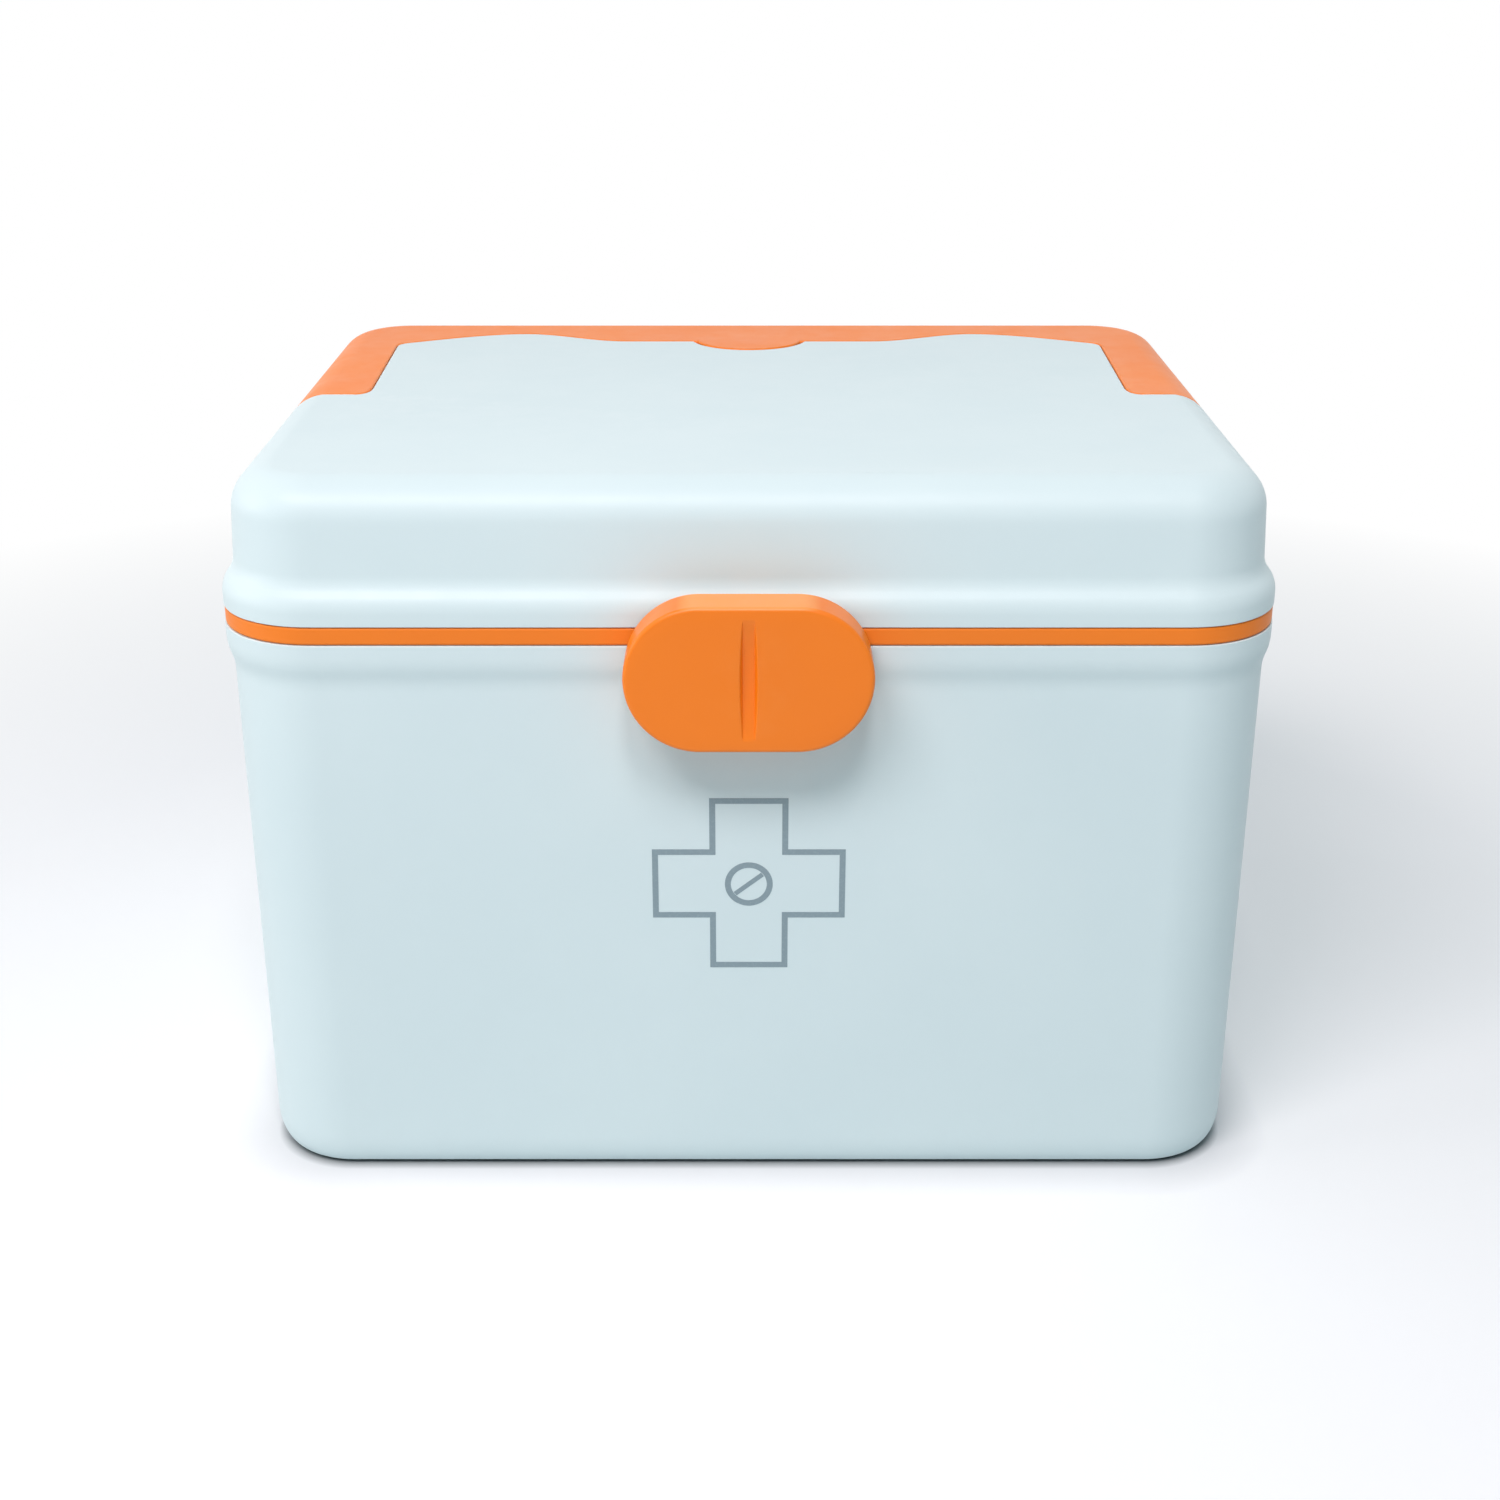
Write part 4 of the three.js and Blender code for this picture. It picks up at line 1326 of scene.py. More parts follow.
@dataclass
class Lid:
    """The upper shell: skirt, concave step, domed shoulder and flat top with a bay for the handle."""

    low: float = 151.7
    skirt_top: float = 154.8
    dome_low: float = 163.8
    step_inset: float = 3.3
    dome_inset: float = 3.86
    shoulder_low: float = 175.5
    shoulder: float = 10.5
    top: float = 186.0
    wall: float = 2.2
    gap: float = 0.3
    rim_edge: float = 0.45
    boss: float = 5.0
    pin: float = 2.2
    pin_back: float = 5.3
    pin_reach: float = 14.5
    pin_gap: float = 0.2
    bore_back: float = 10.0
    bore_length: float = 14.0
    past: float = 3.0
    arm_low: float = 0.4
    lug: float = 2.5
    lug_width: float = 3.5
    lug_x: float = 8.75
    web: tuple[Pair, ...] = (
        (0.2, -2.0), (0.5, -5.1), (6.7, -5.1), (6.7, -4.35), (2.35, -4.35), (1.75, -1.75))

    def outside(self) -> Piece:
        """Draws the lid's outside from its skirt.

        Returns:
            A solid lid.
        """
        edge = RIM.edge
        lid = BENCH.rounded("lid", (RIM.half_x, RIM.half_y), RIM.corner, self.low + edge, self.skirt_top)
        BENCH.climb(lid, self.skirt_top, 1, [
            *stepped(0.0, self.step_inset, self.skirt_top, self.dome_low, 8),
            (self.dome_inset, self.shoulder_low),
            *quarter(self.dome_inset, self.shoulder_low, self.shoulder, 1, True, 14),
        ])
        BENCH.climb(lid, self.low + edge, -1, quarter(0.0, self.low + edge, edge, -1, True, 3))
        return lid

    def inside(self) -> Piece:
        """Draws the lid's hollow.

        Returns:
            The hollow as a solid.
        """
        half = (RIM.half_x - self.wall, RIM.half_y - self.wall)
        hollow = BENCH.rounded("hollow", half, RIM.corner - self.wall, self.low - 3, self.skirt_top)
        BENCH.climb(hollow, self.skirt_top, 1, [
            *stepped(0.0, self.step_inset, self.skirt_top, self.dome_low + self.wall / 2),
            (self.dome_inset, self.shoulder_low),
            *quarter(self.dome_inset, self.shoulder_low, self.shoulder - self.wall, 1, True, 10),
        ])
        return hollow

    def bay(self, form: HandleForm, grown: float) -> Piece:
        """Models what the handle and its turning legs need free.

        Args:
            form: The handle's outline.
            grown: A wall's thickness, or 0 for the free space itself.

        Returns:
            The space as a solid.
        """
        bay = form.envelope(self.gap + grown, form.underside - self.gap - grown)
        grown += form.lip_gap
        well = form.lip_round(grown, self.top - form.lip_depth - grown, form.over)
        return BENCH.combine(bay, Join.ADD, well)

    @classmethod
    def side_inset(cls, z: float) -> float:
        """Gives the dome's inset from the rim at one height, where its side leans."""
        share = (z - cls.dome_low) / (cls.shoulder_low - cls.dome_low)
        return cls.step_inset + (cls.dome_inset - cls.step_inset) * min(1.0, max(0.0, share))

    def on_skin(self, point: Vector) -> bool:
        """Says whether a point lies on the dome's outside or on its flat top.

        Args:
            point: The point.

        Returns:
            True where it does, within the width of a facet's bow.
        """
        if point.z > self.top - TOUCH:
            return True
        rise = min(1.0, max(0.0, point.z - self.shoulder_low) / self.shoulder)
        inset = self.side_inset(point.z) + self.shoulder * (1 - math.sqrt(1 - rise * rise))
        corner = RIM.corner - inset
        beyond = Vector((abs(point.x) - RIM.half_x + RIM.corner, abs(point.y) - RIM.half_y + RIM.corner))
        reach = beyond.length if min(beyond) > 0 else max(beyond)
        return abs(reach - corner) < 3 * TOUCH

    def soften_rims(self, piece: Piece, width: float) -> None:
        """Rounds the sharp edges that lie on the dome's outside or its top.

        Args:
            piece: The lid or the handle.
            width: Width of the rounding.
        """
        BENCH.clean(piece)
        BENCH.soften(piece, width, 3, lambda edge: fold_of(edge) > 40 and all(
            self.on_skin(v.co) and v.co.z > self.dome_low + 1 for v in edge.verts))

    def lugs(self, latch: "Latch") -> list[Piece]:
        """Models the two lugs that hold the latch's pin.

        Args:
            latch: The latch.

        Returns:
            The lugs.
        """
        lugs = []
        y, z = latch.pivot_y, latch.pivot_z
        for side in (-1, 1):
            x = side * self.lug_x - self.lug_width / 2
            eye = BENCH.bar("eye", Axis.X, self.lug, (x, y, z), self.lug_width, 40)
            web = BENCH.outline("web", [Knot(place) for place in self.web], 0.0, self.lug_width)
            BENCH.turn(web, (math.pi / 2, 0, math.pi / 2), (x, y, z))
            lug = BENCH.combine(web, Join.ADD, eye)
            start = (x - self.past, y, z)
            length = self.lug_width + 2 * self.past
            lugs.append(BENCH.drill(lug, latch.pin + self.pin_gap, start, length, PIN_FACETS))
        return lugs

    def dress(self, form: HandleForm, latch: "Latch", hinge: Hinge, finishes: Finishes) -> None:
        """Models the lid's shell and the pins that it carries.

        Args:
            form: The handle's outline.
            latch: The latch.
            hinge: The rear hinge.
            finishes: The box's finishes.
        """
        hollow = BENCH.combine(self.inside(), Join.CUT, self.bay(form, self.wall))
        lid = BENCH.combine(self.outside(), Join.CUT, hollow)
        inner = form.leg_x() - self.pin_back
        reach = form.leg_x() + self.pin_reach
        for start in (inner, self.gap - form.leg_x()):
            boss = BENCH.bar(
                "boss", Axis.X, self.boss, (start, form.pivot_y, form.pivot_z), self.pin_back - self.gap)
            BENCH.combine(lid, Join.ADD, boss)
        BENCH.combine(lid, Join.CUT, self.bay(form, 0.0))
        self.soften_rims(lid, self.rim_edge)
        BENCH.combine(lid, Join.ADD, *self.lugs(latch))
        hinge.fit_lid(lid, self.low + self.arm_low, self.skirt_top + hinge.barrel / 2)
        y, z = form.pivot_y, form.pivot_z
        for side in (-1, 1):
            start = side * (form.leg_x() - self.bore_back)
            first = min(start, start + side * self.bore_length)
            BENCH.drill(lid, self.pin + self.pin_gap, (first, y, z), self.bore_length)
        BENCH.hand_over(lid, "lid_shell", "lid", finishes.shell)
        for side, start in (("left", -reach), ("right", inner)):
            BENCH.pin(f"handle_pin_{side}", "lid", finishes.pin, self.pin, (start, y, z), reach - inner,
                      BORE_FACETS, 0.3)


@dataclass
class Handle:
    """The folding handle: one U-shaped moulding, hollow and ribbed on its underside."""

    wall: float = 2.4
    rib: float = 2.0
    rib_low: float = 170.3
    leg_solid_y: float = 13.6
    leg_ribs: tuple[float, ...] = (35.8, 58.0)
    bar_ribs: tuple[float, ...] = (26.0, 52.0, 78.0)
    bar_rib_y: Pair = (50.0, 110.0)
    leg_rib_spread: float = 1.3
    beyond: Pair = (140.0, 120.0)
    bore_reach: float = 14.8
    bore_gap: float = 0.3
    edge: float = 0.6

    def hollow(self, form: HandleForm) -> Piece:
        """Models the hollow under the handle.

        Args:
            form: The handle's outline.

        Returns:
            The hollow as a solid.
        """
        low, high = form.underside - 3, Lid.top - self.wall
        hollow = form.skin(self.wall, low)
        BENCH.combine(hollow, Join.KEEP_COMMON, form.region(-self.wall, low - 1, high + 5))
        x, y = self.beyond
        behind = BENCH.block("behind", (-x, self.leg_solid_y, low - 2), (x, y, high + 6))
        BENCH.combine(hollow, Join.KEEP_COMMON, behind)
        half = self.rib / 2
        first, last = self.bar_rib_y
        ribs = [
            BENCH.block("rib", (x - half, first, self.rib_low), (x + half, last, high + 5))
            for place in self.bar_ribs for x in (-place, place)
        ]
        inner, outer = form.leg_x(), form.leg_x() * self.leg_rib_spread
        ribs += [
            BENCH.block("rib", (first, y - half, self.rib_low), (last, y + half, high + 5))
            for y in self.leg_ribs for first, last in ((-outer, -inner), (inner, outer))
        ]
        return BENCH.combine(hollow, Join.CUT, *ribs)

    def dress(self, form: HandleForm, lid: Lid, finishes: Finishes) -> None:
        """Models the handle.

        Args:
            form: The handle's outline.
            lid: The lid, for its pins and its skin.
            finishes: The box's finishes.
        """
        handle = form.skin(0.0, form.underside)
        BENCH.combine(handle, Join.KEEP_COMMON, form.envelope(0.0, form.underside - 1))
        BENCH.combine(handle, Join.CUT, self.hollow(form))
        BENCH.combine(handle, Join.ADD, form.lip_round(0.0, lid.top - form.lip_depth, lid.top))
        lid.soften_rims(handle, self.edge)
        for side in (-1, 1):
            start = side * (form.leg_x() - lid.past)
            end = side * (form.leg_x() + self.bore_reach)
            first = (min(start, end), form.pivot_y, form.pivot_z)
            BENCH.drill(handle, lid.pin + self.bore_gap, first, abs(end - start))
        BENCH.hand_over(handle, "handle", "handle", finishes.accent)


@dataclass
class Latch:
    """The snap latch: a pill that hangs from a pin, with a score groove down its middle."""

    width: float = 59.4
    height: float = 36.3
    centre_z: float = 142.8
    back: float = -103.4
    back_edge: float = 1.0
    face: tuple[Pair, ...] = ((1.6, 0.35), (3.4, 0.0))
    mouth: float = 0.4
    root: float = 0.6
    front: float = -115.0
    edge: float = 1.1
    crown: float = 0.12
    wall: float = 2.4
    pivot_y: float = -107.6
    pivot_z: float = 157.0
    barrel: float = 3.35
    barrel_length: float = 27.6
    pin: float = 1.1
    score_radius: float = 72.0
    score_depth: float = 1.7
    score_floor: float = 1.4
    score_slope: float = 0.7
    score_edge: float = 0.3
    skin: float = 0.8
    hook_width: float = 24.0
    hook_top: float = 133.0
    hook_tip: float = -103.8
    hook: float = 2.2
    hook_round: float = 0.5
    gap: float = 0.3
    past: float = 3.0
    swing_back: float = 1.2

    def pill(self) -> Piece:
        """Draws the pill lying down, with its rounded face up and its hollow below, and stands it up.

        Returns:
            The pill.
        """
        depth = self.back - self.front
        side = depth - self.edge - self.crown
        half = self.height / 2
        pill = BENCH.rounded(
            "pill", (self.width / 2, half), half - PILL_END, self.back_edge, side, steps=28)
        BENCH.climb(pill, side, 1, [
            *quarter(0.0, side, self.edge, 1, True, 8),
            *((self.edge + inset, depth - self.crown * share) for inset, share in self.face),
        ])
        BENCH.climb(pill, self.back_edge, -1, [
            *quarter(0.0, self.back_edge, self.back_edge, -1, True, 4),
            (self.wall - self.mouth, 0.0),
            (self.wall, self.mouth),
            (self.wall, depth - self.wall - self.root),
            (self.wall + self.root, depth - self.wall),
        ])
        BENCH.turn(pill, (math.pi / 2, 0.0, 0.0), (0.0, self.back, self.centre_z))
        return pill

    def dress(self, lid: Lid, finishes: Finishes) -> None:
        """Models the latch and its pin.

        Args:
            lid: The lid, for its lugs.
            finishes: The box's finishes.
        """
        latch = self.pill()
        half = self.barrel_length / 2
        y, z = self.pivot_y, self.pivot_z
        barrel = BENCH.bar("barrel", Axis.X, self.barrel, (-half, y, z), 2 * half)
        root = self.front + self.wall / 2
        hook = BENCH.block(
            "hook", (-self.hook_width / 2, root, self.hook_top - self.hook),
            (self.hook_width / 2, self.hook_tip, self.hook_top))
        BENCH.shift(hook, (0, 0, -self.hook), lambda edge: (
            below(edge, self.hook_top - self.hook) and below(edge, root, 1)))
        BENCH.soften(hook, self.hook_round, 3, lambda edge: above(edge, self.hook_tip, 1))
        BENCH.combine(latch, Join.ADD, barrel, hook)
        BENCH.combine(latch, Join.CUT, self.score())
        BENCH.clean(latch)
        BENCH.soften(latch, self.score_edge, 2, lambda edge: fold_of(edge) > 30 and all(
            v.co.y < self.front + self.crown and between(abs(v.co.x), self.score_floor, 3.0)
            for v in edge.verts))
        reach = half + self.past
        BENCH.drill(latch, self.pin + self.gap, (-reach, y, z), 2 * reach, PIN_FACETS)
        BENCH.combine(latch, Join.CUT, *self.slots(lid))
        BENCH.hand_over(latch, "latch", "latch", finishes.latch)
        length = self.barrel_length - 2 * self.gap
        BENCH.pin("latch_pin", "lid", finishes.pin, self.pin, (-length / 2, y, z), length)

    def score(self) -> Piece:
        """Models what the score groove takes away: the flat-sided rim of a large wheel.

        Returns:
            The wheel.
        """
        half = self.score_floor
        edge = half + self.score_slope
        wheel = BENCH.bar("score", Axis.Z, self.score_radius, (0, 0, -half), 2 * half, 320)
        for facing in (-1, 1):
            BENCH.climb(wheel, half * facing, facing, [(self.score_depth, edge * facing)])
        hub = self.front + self.score_depth - self.score_radius
        BENCH.turn(wheel, Axis.X.value, (0, hub, self.centre_z))
        return wheel

    def slots(self, lid: Lid) -> list[Piece]:
        """Models the slots that let the lugs in.

        Args:
            lid: The lid, for its lugs.

        Returns:
            The slots as solids.
        """
        slots = []
        y, z = self.pivot_y, self.pivot_z
        inner = self.back + self.past
        under = self.centre_z + self.height / 2 - self.skin
        for side in (-1, 1):
            start = side * lid.lug_x - lid.lug_width / 2 - self.gap
            end = start + lid.lug_width + 2 * self.gap
            slots += [
                BENCH.bar("slot", Axis.X, lid.lug + self.gap, (start, y, z), end - start),
                BENCH.block("slot", (start, y + self.swing_back, self.centre_z), (end, inner, under)),
                BENCH.block("slot", (start, y, self.centre_z), (end, inner, z)),
            ]
        return slots


@dataclass
class Tray:
    """The lift-out tray: two rows of compartments, a raised grip and three loose dividers."""

    half: Pair = (116.0, 88.0)
    corner: float = 17.5
    low: float = 98.0
    top: float = 146.0
    flange: float = 4.5
    flange_low: float = 144.0
    wall: float = 1.8
    floor: float = 2.0
    draft: float = 1.4
    centre_y: float = 5.0
    grip_half: float = 48.0
    grip_top: float = 165.0
    grip_bar: float = 5.0
    slot_width: float = 70.0
    slot_height: float = 12.0
    slot_reach: float = 4.0
    grip_corner: float = 5.0
    grip_edge: float = 0.45
    rim_round: float = 0.5
    under_edge: float = 0.3
    foot_round: float = 3.0
    floor_round: float = 2.0
    guide: float = 1.4
    gap: float = 0.3
    divider: float = 1.6
    divider_height: float = 40.0
    divider_lift: float = 0.2
    divider_corner: float = 4.0
    front_dividers: tuple[float, ...] = (-34.8,)
    back_dividers: tuple[float, ...] = (-39.44, 39.44)

    def rows(self) -> list[tuple[float, float, tuple[float, ...]]]:
        """Gives each row's front, back and dividers."""
        near = self.half[1] - self.wall
        half = self.wall / 2
        return [
            (-near, self.centre_y - half, self.front_dividers),
            (self.centre_y + half, near, self.back_dividers),
        ]

    def shell(self) -> Piece:
        """Draws the tray from its flange downwards and hollows both rows.

        Returns:
            The tray without its grip.
        """
        flange = self.flange
        base = flange + self.draft
        rim, edge, bend = self.rim_round, self.under_edge, self.foot_round
        low, high = self.flange_low + edge, self.top - rim
        half = (self.half[0] + flange, self.half[1] + flange)
        tray = BENCH.rounded("tray", half, self.corner + flange, low, high)
        BENCH.climb(tray, high, 1, quarter(0.0, high, rim, 1, True, 3))
        BENCH.climb(tray, low, -1, [
            (edge, self.flange_low),
            (flange - edge, self.flange_low),
            (flange, self.flange_low - 0.4),
            (base, self.low + bend),
            *quarter(base, self.low + bend, bend, -1, True, 6),
        ])
        bend = self.floor_round
        start = self.low + self.floor + bend
        for front, back, _ in self.rows():
            half = (self.half[0] - self.wall, (back - front) / 2)
            centre = (0.0, (front + back) / 2)
            row = BENCH.rounded("row", half, self.corner - self.wall, self.top, self.top + 3, centre, 14)
            BENCH.climb(row, self.top, -1, [
                (self.draft, start), *quarter(self.draft, start, bend, -1, True, 5)])
            BENCH.combine(tray, Join.CUT, row)
        return tray

    def grip(self) -> Piece:
        """Models the middle wall's raised grip with its finger slot.

        Returns:
            The grip.
        """
        half = self.wall / 2
        y = self.centre_y
        x, low = self.grip_half, self.top - self.wall
        grip = BENCH.block("grip", (-x, y - half, low), (x, y + half, self.grip_top))
        for side in (-1, 1):
            BENCH.shift(grip, (-side * self.grip_bar, 0, 0), lambda edge, side=side: (
                above(edge, self.grip_top) and all(v.co.x * side > 0 for v in edge.verts)))
        BENCH.soften(
            grip, self.grip_corner, 8, lambda edge: above(edge, self.grip_top) and not spans(edge, 0))
        radius = self.slot_height / 2
        slot = BENCH.rounded(
            "slot", (self.slot_width / 2, radius), radius - PILL_END, -self.slot_reach, self.slot_reach,
            steps=12)
        BENCH.turn(slot, (math.pi / 2, 0, 0), (0, y, self.grip_top - self.grip_bar - radius))
        BENCH.combine(grip, Join.CUT, slot)
        BENCH.soften(
            grip, self.grip_edge, 2, lambda edge: fold_of(edge) > 60 and middle_of(edge).z > self.top + 1)
        return grip

    def guides(self, front: float, back: float, x: float) -> list[Piece]:
        """Models the four guides of one divider.

        Args:
            front: The row's front.
            back: The row's back.
            x: The divider's place.

        Returns:
            The guides.
        """
        low = self.low + self.floor / 2
        high = self.low + self.floor + self.divider_height
        near = self.divider / 2 + self.gap
        reach = self.guide + self.draft + self.wall / 2
        half = self.wall / 2
        guides = []
        for side in (-1, 1):
            left, right = sorted((x + side * near, x + side * (near + self.guide)))
            for start in (front - half, back + half - reach):
                guides.append(BENCH.block("guide", (left, start, low), (right, start + reach, high)))
        return guides

    def dress(self, finishes: Finishes) -> None:
        """Models the tray and its dividers.

        Args:
            finishes: The box's finishes.
        """
        tray = BENCH.combine(self.shell(), Join.ADD, self.grip())
        number = 0
        for front, back, places in self.rows():
            for x in places:
                number += 1
                BENCH.combine(tray, Join.ADD, *self.guides(front, back, x))
                self.dress_divider(number, x, front, back, finishes)
        BENCH.hand_over(tray, "tray", "tray", finishes.tray)

    def dress_divider(self, number: int, x: float, front: float, back: float, finishes: Finishes) -> None:
        """Models one divider: a tapering plate with round upper corners.

        Args:
            number: Its number.
            x: Its place.
            front: The row's front.
            back: The row's back.
            finishes: The box's finishes.
        """
        half = self.divider / 2
        middle = (front + back) / 2
        low = self.low + self.floor + self.divider_lift
        high = self.low + self.floor + self.divider_height
        plate = BENCH.block("divider", (x - half, front + self.gap, low), (x + half, back - self.gap, high))
        for way in (-1, 1):
            BENCH.shift(plate, (0, -way * self.draft, 0), lambda edge, way=way: (
                below(edge, low) and all((v.co.y - middle) * way > 0 for v in edge.verts)))
        BENCH.soften(plate, self.divider_corner, 6, lambda edge: above(edge, high) and not spans(edge, 1))
        BENCH.hand_over(plate, f"tray_divider_{number}", "tray", finishes.divider, 0.3)


@dataclass
class FrontPrint:
    """The print on the front wall: an outlined cross with a plain scored tablet inside."""

    left: float = 24.15
    arm: float = 9.8
    low: float = 59.85
    arm_low: float = 74.0
    arm_high: float = 92.9
    high: float = 106.8
    stroke: float = 1.5
    tablet: float = 6.0
    score: Pair = (2.2, 0.8)
    score_angle: float = math.radians(38)
    proud: float = 0.06

    def middle(self) -> float:
        """Gives the height of the cross's middle."""
        return (self.low + self.high) / 2

    def cross(self) -> Piece:
        """Draws the cross lying down: nine fields, less four corners, less all but a stroke.

        Returns:
            The flat cross about its middle.
        """
        bpy.ops.mesh.primitive_grid_add(x_subdivisions=3, y_subdivisions=3, size=2)
        cross = BENCH.settle("cross")
        middle = self.middle()
        across = {-1.0: -self.left, -1 / 3: -self.arm, 1 / 3: self.arm, 1.0: self.left}
        up = {-1.0: self.low, -1 / 3: self.arm_low, 1 / 3: self.arm_high, 1.0: self.high}
        for corner in cross.data.vertices:
            corner.co.x = min(across.items(), key=lambda pair: abs(pair[0] - corner.co.x))[1]
            corner.co.y = min(up.items(), key=lambda pair: abs(pair[0] - corner.co.y))[1] - middle
        BENCH.pick(cross, Pick.FACES, lambda face: abs(face.calc_center_median().x) > self.arm
                   and not between(face.calc_center_median().y + middle, self.arm_low, self.arm_high))
        bpy.ops.mesh.delete(type="FACE")
        bpy.ops.mesh.select_all(action="SELECT")
        bpy.ops.mesh.inset(thickness=self.stroke, use_boundary=True)
        bpy.ops.mesh.delete(type="FACE")
        BENCH.done()
        return cross

    def tablet_mark(self) -> Piece:
        """Draws a round tablet lying down: a ring with a score across it.

        Returns:
            The flat mark about its middle.
        """
        bpy.ops.mesh.primitive_circle_add(vertices=72, radius=self.tablet, fill_type="NGON")
        ring = BENCH.settle("tablet")
        BENCH.pick(ring, Pick.FACES, lambda face: True)
        bpy.ops.mesh.inset(thickness=self.stroke)
        bpy.ops.mesh.delete(type="FACE")
        BENCH.done()
        bpy.ops.mesh.primitive_plane_add(size=1)
        score = bpy.context.object
        score.scale = (2 * self.tablet - self.score[0] * self.stroke, self.stroke * self.score[1], 1)
        score.rotation_euler = (0, 0, self.score_angle)
        BENCH.settle("score")
        BENCH.alone(ring)
        score.select_set(True)
        bpy.ops.object.join()
        return ring

    def dress(self, base: BaseContainer, finishes: Finishes) -> None:
        """Lays both marks on the drafted front wall.

        Args:
            base: The base container.
            finishes: The box's finishes.
        """
        middle = self.middle()
        lean = math.atan2(base.wall_y(self.high) - base.wall_y(self.low), self.high - self.low)
        for name, mark in (("print_cross", self.cross()), ("print_tablet", self.tablet_mark())):
            BENCH.alone(mark)
            film = mark.modifiers.new("film", "SOLIDIFY")
            film.thickness = 2 * self.proud
            film.offset = 0.0
            bpy.ops.object.modifier_apply(modifier=film.name)
            BENCH.turn(mark, (math.pi / 2 - lean, 0, 0), (0, base.wall_y(middle), middle))
            BENCH.to_metres(mark)
            BENCH.register(mark, name, "base", finishes.ink)


@dataclass(frozen=True)
class Softbox:
    """A square lamp with a soft face."""

    name: str
    place: Point
    size: Pair
    power: float
    colour: Colour = (1.0, 1.0, 1.0)
    target: Point = (0.0, 0.0, 0.1)

    def hang(self) -> None:
        """Hangs the lamp and points it at its target."""
        lamp = bpy.data.lights.new(self.name, "AREA")
        lamp.shape = "RECTANGLE"
        lamp.size, lamp.size_y = self.size
        lamp.energy = self.power
        lamp.color = self.colour
        holder = bpy.data.objects.new(self.name, lamp)
        holder.location = self.place
        way = Vector(self.target) - Vector(self.place)
        holder.rotation_euler = way.to_track_quat("-Z", "Y").to_euler()
        bpy.context.scene.collection.objects.link(holder)


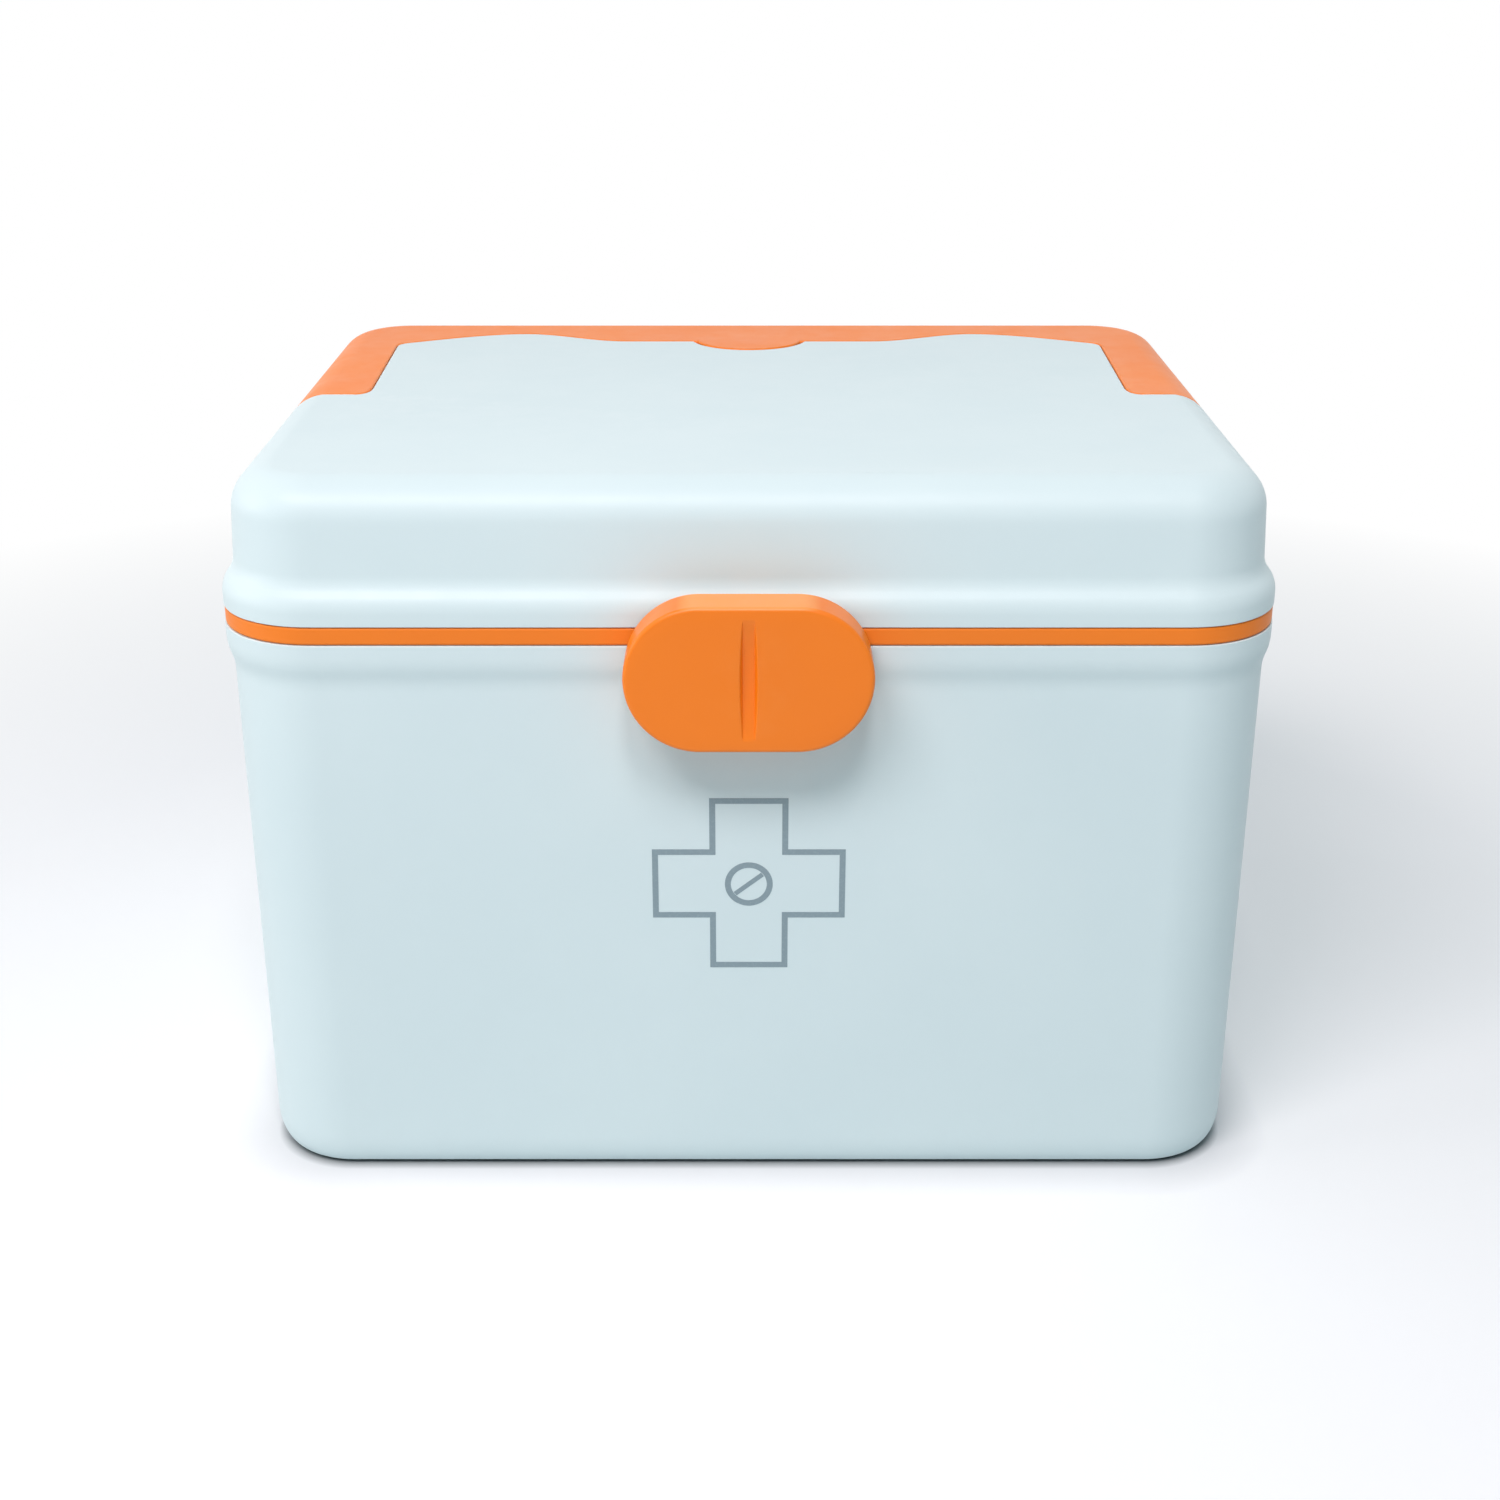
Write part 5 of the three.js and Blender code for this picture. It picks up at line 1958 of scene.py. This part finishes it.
@dataclass
class Studio:
    """A plain pale studio: white floor and backdrop, soft lamps and the camera."""

    lens: float = 52.94
    camera_place: Point = (0.0003, -0.59675, 0.32236)
    camera_pitch: float = 67.9
    floor_half: float = 6.0
    ambient: Colour = (0.265, 0.33, 0.355)
    floor_colour: Colour = (0.81, 0.81, 0.82)
    floor_bounce: Colour = (0.76, 0.82, 0.84)
    floor_mottle: Colour = (0.83, 0.84, 0.85)
    # Colour of the painted contact shadow round the box's foot.
    contact_shadow_colour: Colour = (0.075, 0.09, 0.095)
    floor_glow: float = 0.2
    footprint: Point = (0.105, 0.0742, 0.0)
    footprint_corner: float = 0.0187
    # Where the painted contact shadow fades out, in metres beyond the box's footprint; the glow starts
    # rising where it ends.
    contact_shadow_from: float = 0.0002
    contact_shadow_rise: float = 0.0047
    glow_rise: float = 0.018
    glow_from: float = 0.28
    glow_full: float = 0.6
    lamps: tuple[Softbox, ...] = (
        Softbox("key", (-0.39, -0.7, 1.04), (0.54, 0.3), 6.55, (1.0, 0.915, 0.93)),
        Softbox("second", (0.03, -0.7, 1.04), (0.18, 0.3), 3.7, (1.0, 0.915, 0.93)),
        Softbox("side", (-1.3, -0.15, 0.45), (0.8, 0.5), 3.9, (1.0, 0.94, 0.93)),
        Softbox("overhead", (0.0, 0.1, 1.3), (1.2, 1.2), 0.9, (0.96, 0.98, 1.0)),
    )

    def floor(self) -> None:
        """Lays the floor, which looks white, keeps the box's shadow and has a painted contact shadow round
        the box's foot.
        """
        bpy.ops.mesh.primitive_plane_add(size=2 * self.floor_half)
        floor = bpy.context.object
        floor.name = "floor"
        board = NodeBoard(bpy.data.materials.new("floor_paper"))
        tone = board.patches(0.3, 0.7, 60.0, 3.0)
        camera, glossy, through = board.rays("Is Camera Ray", "Is Glossy Ray", "Is Transmission Ray")
        shown = (camera + glossy + through).clipped()
        mottled = board.blend(tone * 0.15, self.floor_colour, self.floor_mottle)
        side = board.vector("ABSOLUTE", {0: board.place()})
        past = board.vector("SUBTRACT", {0: side, 1: self.footprint})
        outside = board.vector("MAXIMUM", {0: past, 1: (0.0, 0.0, 0.0)})
        beside = board.vector("LENGTH", {0: outside}, "Value") - self.footprint_corner
        # Painted contact shadow: within a few millimetres of the footprint the floor turns dark, and its
        # glow is held back further out, which paints a wider shade round the foot.
        rising = board.ends(beside, self.contact_shadow_rise, self.glow_rise)
        contact_shadow_fade = board.ends(beside, self.contact_shadow_from, self.contact_shadow_rise)
        seen_paper = board.blend(contact_shadow_fade, self.contact_shadow_colour, mottled)
        colour = board.blend(shown, self.floor_bounce, seen_paper)
        paper = board.signal("ShaderNodeBsdfDiffuse", {}, {"Color": colour})
        glow = board.signal("ShaderNodeEmission", {}, {"Strength": shown * rising * self.floor_glow})
        both = board.signal("ShaderNodeAddShader", {}, {0: paper, 1: glow})
        white = board.signal("ShaderNodeEmission", {}, {"Strength": 1.0})
        distance = board.vector("LENGTH", {0: board.place()}, "Value")
        away = board.ends(distance, self.glow_from, self.glow_full) * shown
        fading = board.signal("ShaderNodeMixShader", {}, {0: away, 1: both, 2: white})
        board.node("ShaderNodeOutputMaterial", {}, {"Surface": fading})
        floor.data.materials.append(board.owner)

    def world(self) -> None:
        """Lights the room evenly and shows it white to the camera and in reflections."""
        world = bpy.data.worlds.new("room")
        bpy.context.scene.world = world
        board = NodeBoard(world)
        camera, glossy = board.rays("Is Camera Ray", "Is Glossy Ray")
        seen = board.signal("ShaderNodeMath", {"operation": "MAXIMUM"}, {0: camera, 1: glossy})
        plain = board.signal("ShaderNodeBackground", {}, {"Color": self.ambient})
        white = board.signal("ShaderNodeBackground", {}, {"Color": (1.0, 1.0, 1.0)})
        either = board.signal("ShaderNodeMixShader", {}, {0: seen, 1: plain, 2: white})
        board.node("ShaderNodeOutputWorld", {}, {"Surface": either})

    def camera(self) -> None:
        """Sets the camera at the photograph's viewing angle."""
        camera = bpy.data.cameras.new("camera")
        camera.lens = self.lens
        camera.sensor_width = 36.0
        holder = bpy.data.objects.new("camera", camera)
        holder.location = self.camera_place
        holder.rotation_euler = (math.radians(self.camera_pitch), 0, 0)
        bpy.context.scene.collection.objects.link(holder)
        bpy.context.scene.camera = holder

    def build(self) -> None:
        """Sets up the whole studio."""
        self.floor()
        self.world()
        self.camera()
        for lamp in self.lamps:
            lamp.hang()
        bpy.context.scene.view_settings.view_transform = "Standard"


def main() -> None:
    """Builds the box and its studio."""
    logging.basicConfig(level=logging.INFO, format="%(message)s")
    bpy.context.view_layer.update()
    finishes = Finishes()
    hinge = Hinge()
    base = BaseContainer()
    base.dress(hinge, finishes)
    SealBand().dress(finishes)
    form = HandleForm()
    latch = Latch()
    lid = Lid()
    lid.dress(form, latch, hinge, finishes)
    Handle().dress(form, lid, finishes)
    latch.dress(lid, finishes)
    Tray().dress(finishes)
    FrontPrint().dress(base, finishes)
    Studio().build()


if __name__ == "__main__":
    main()
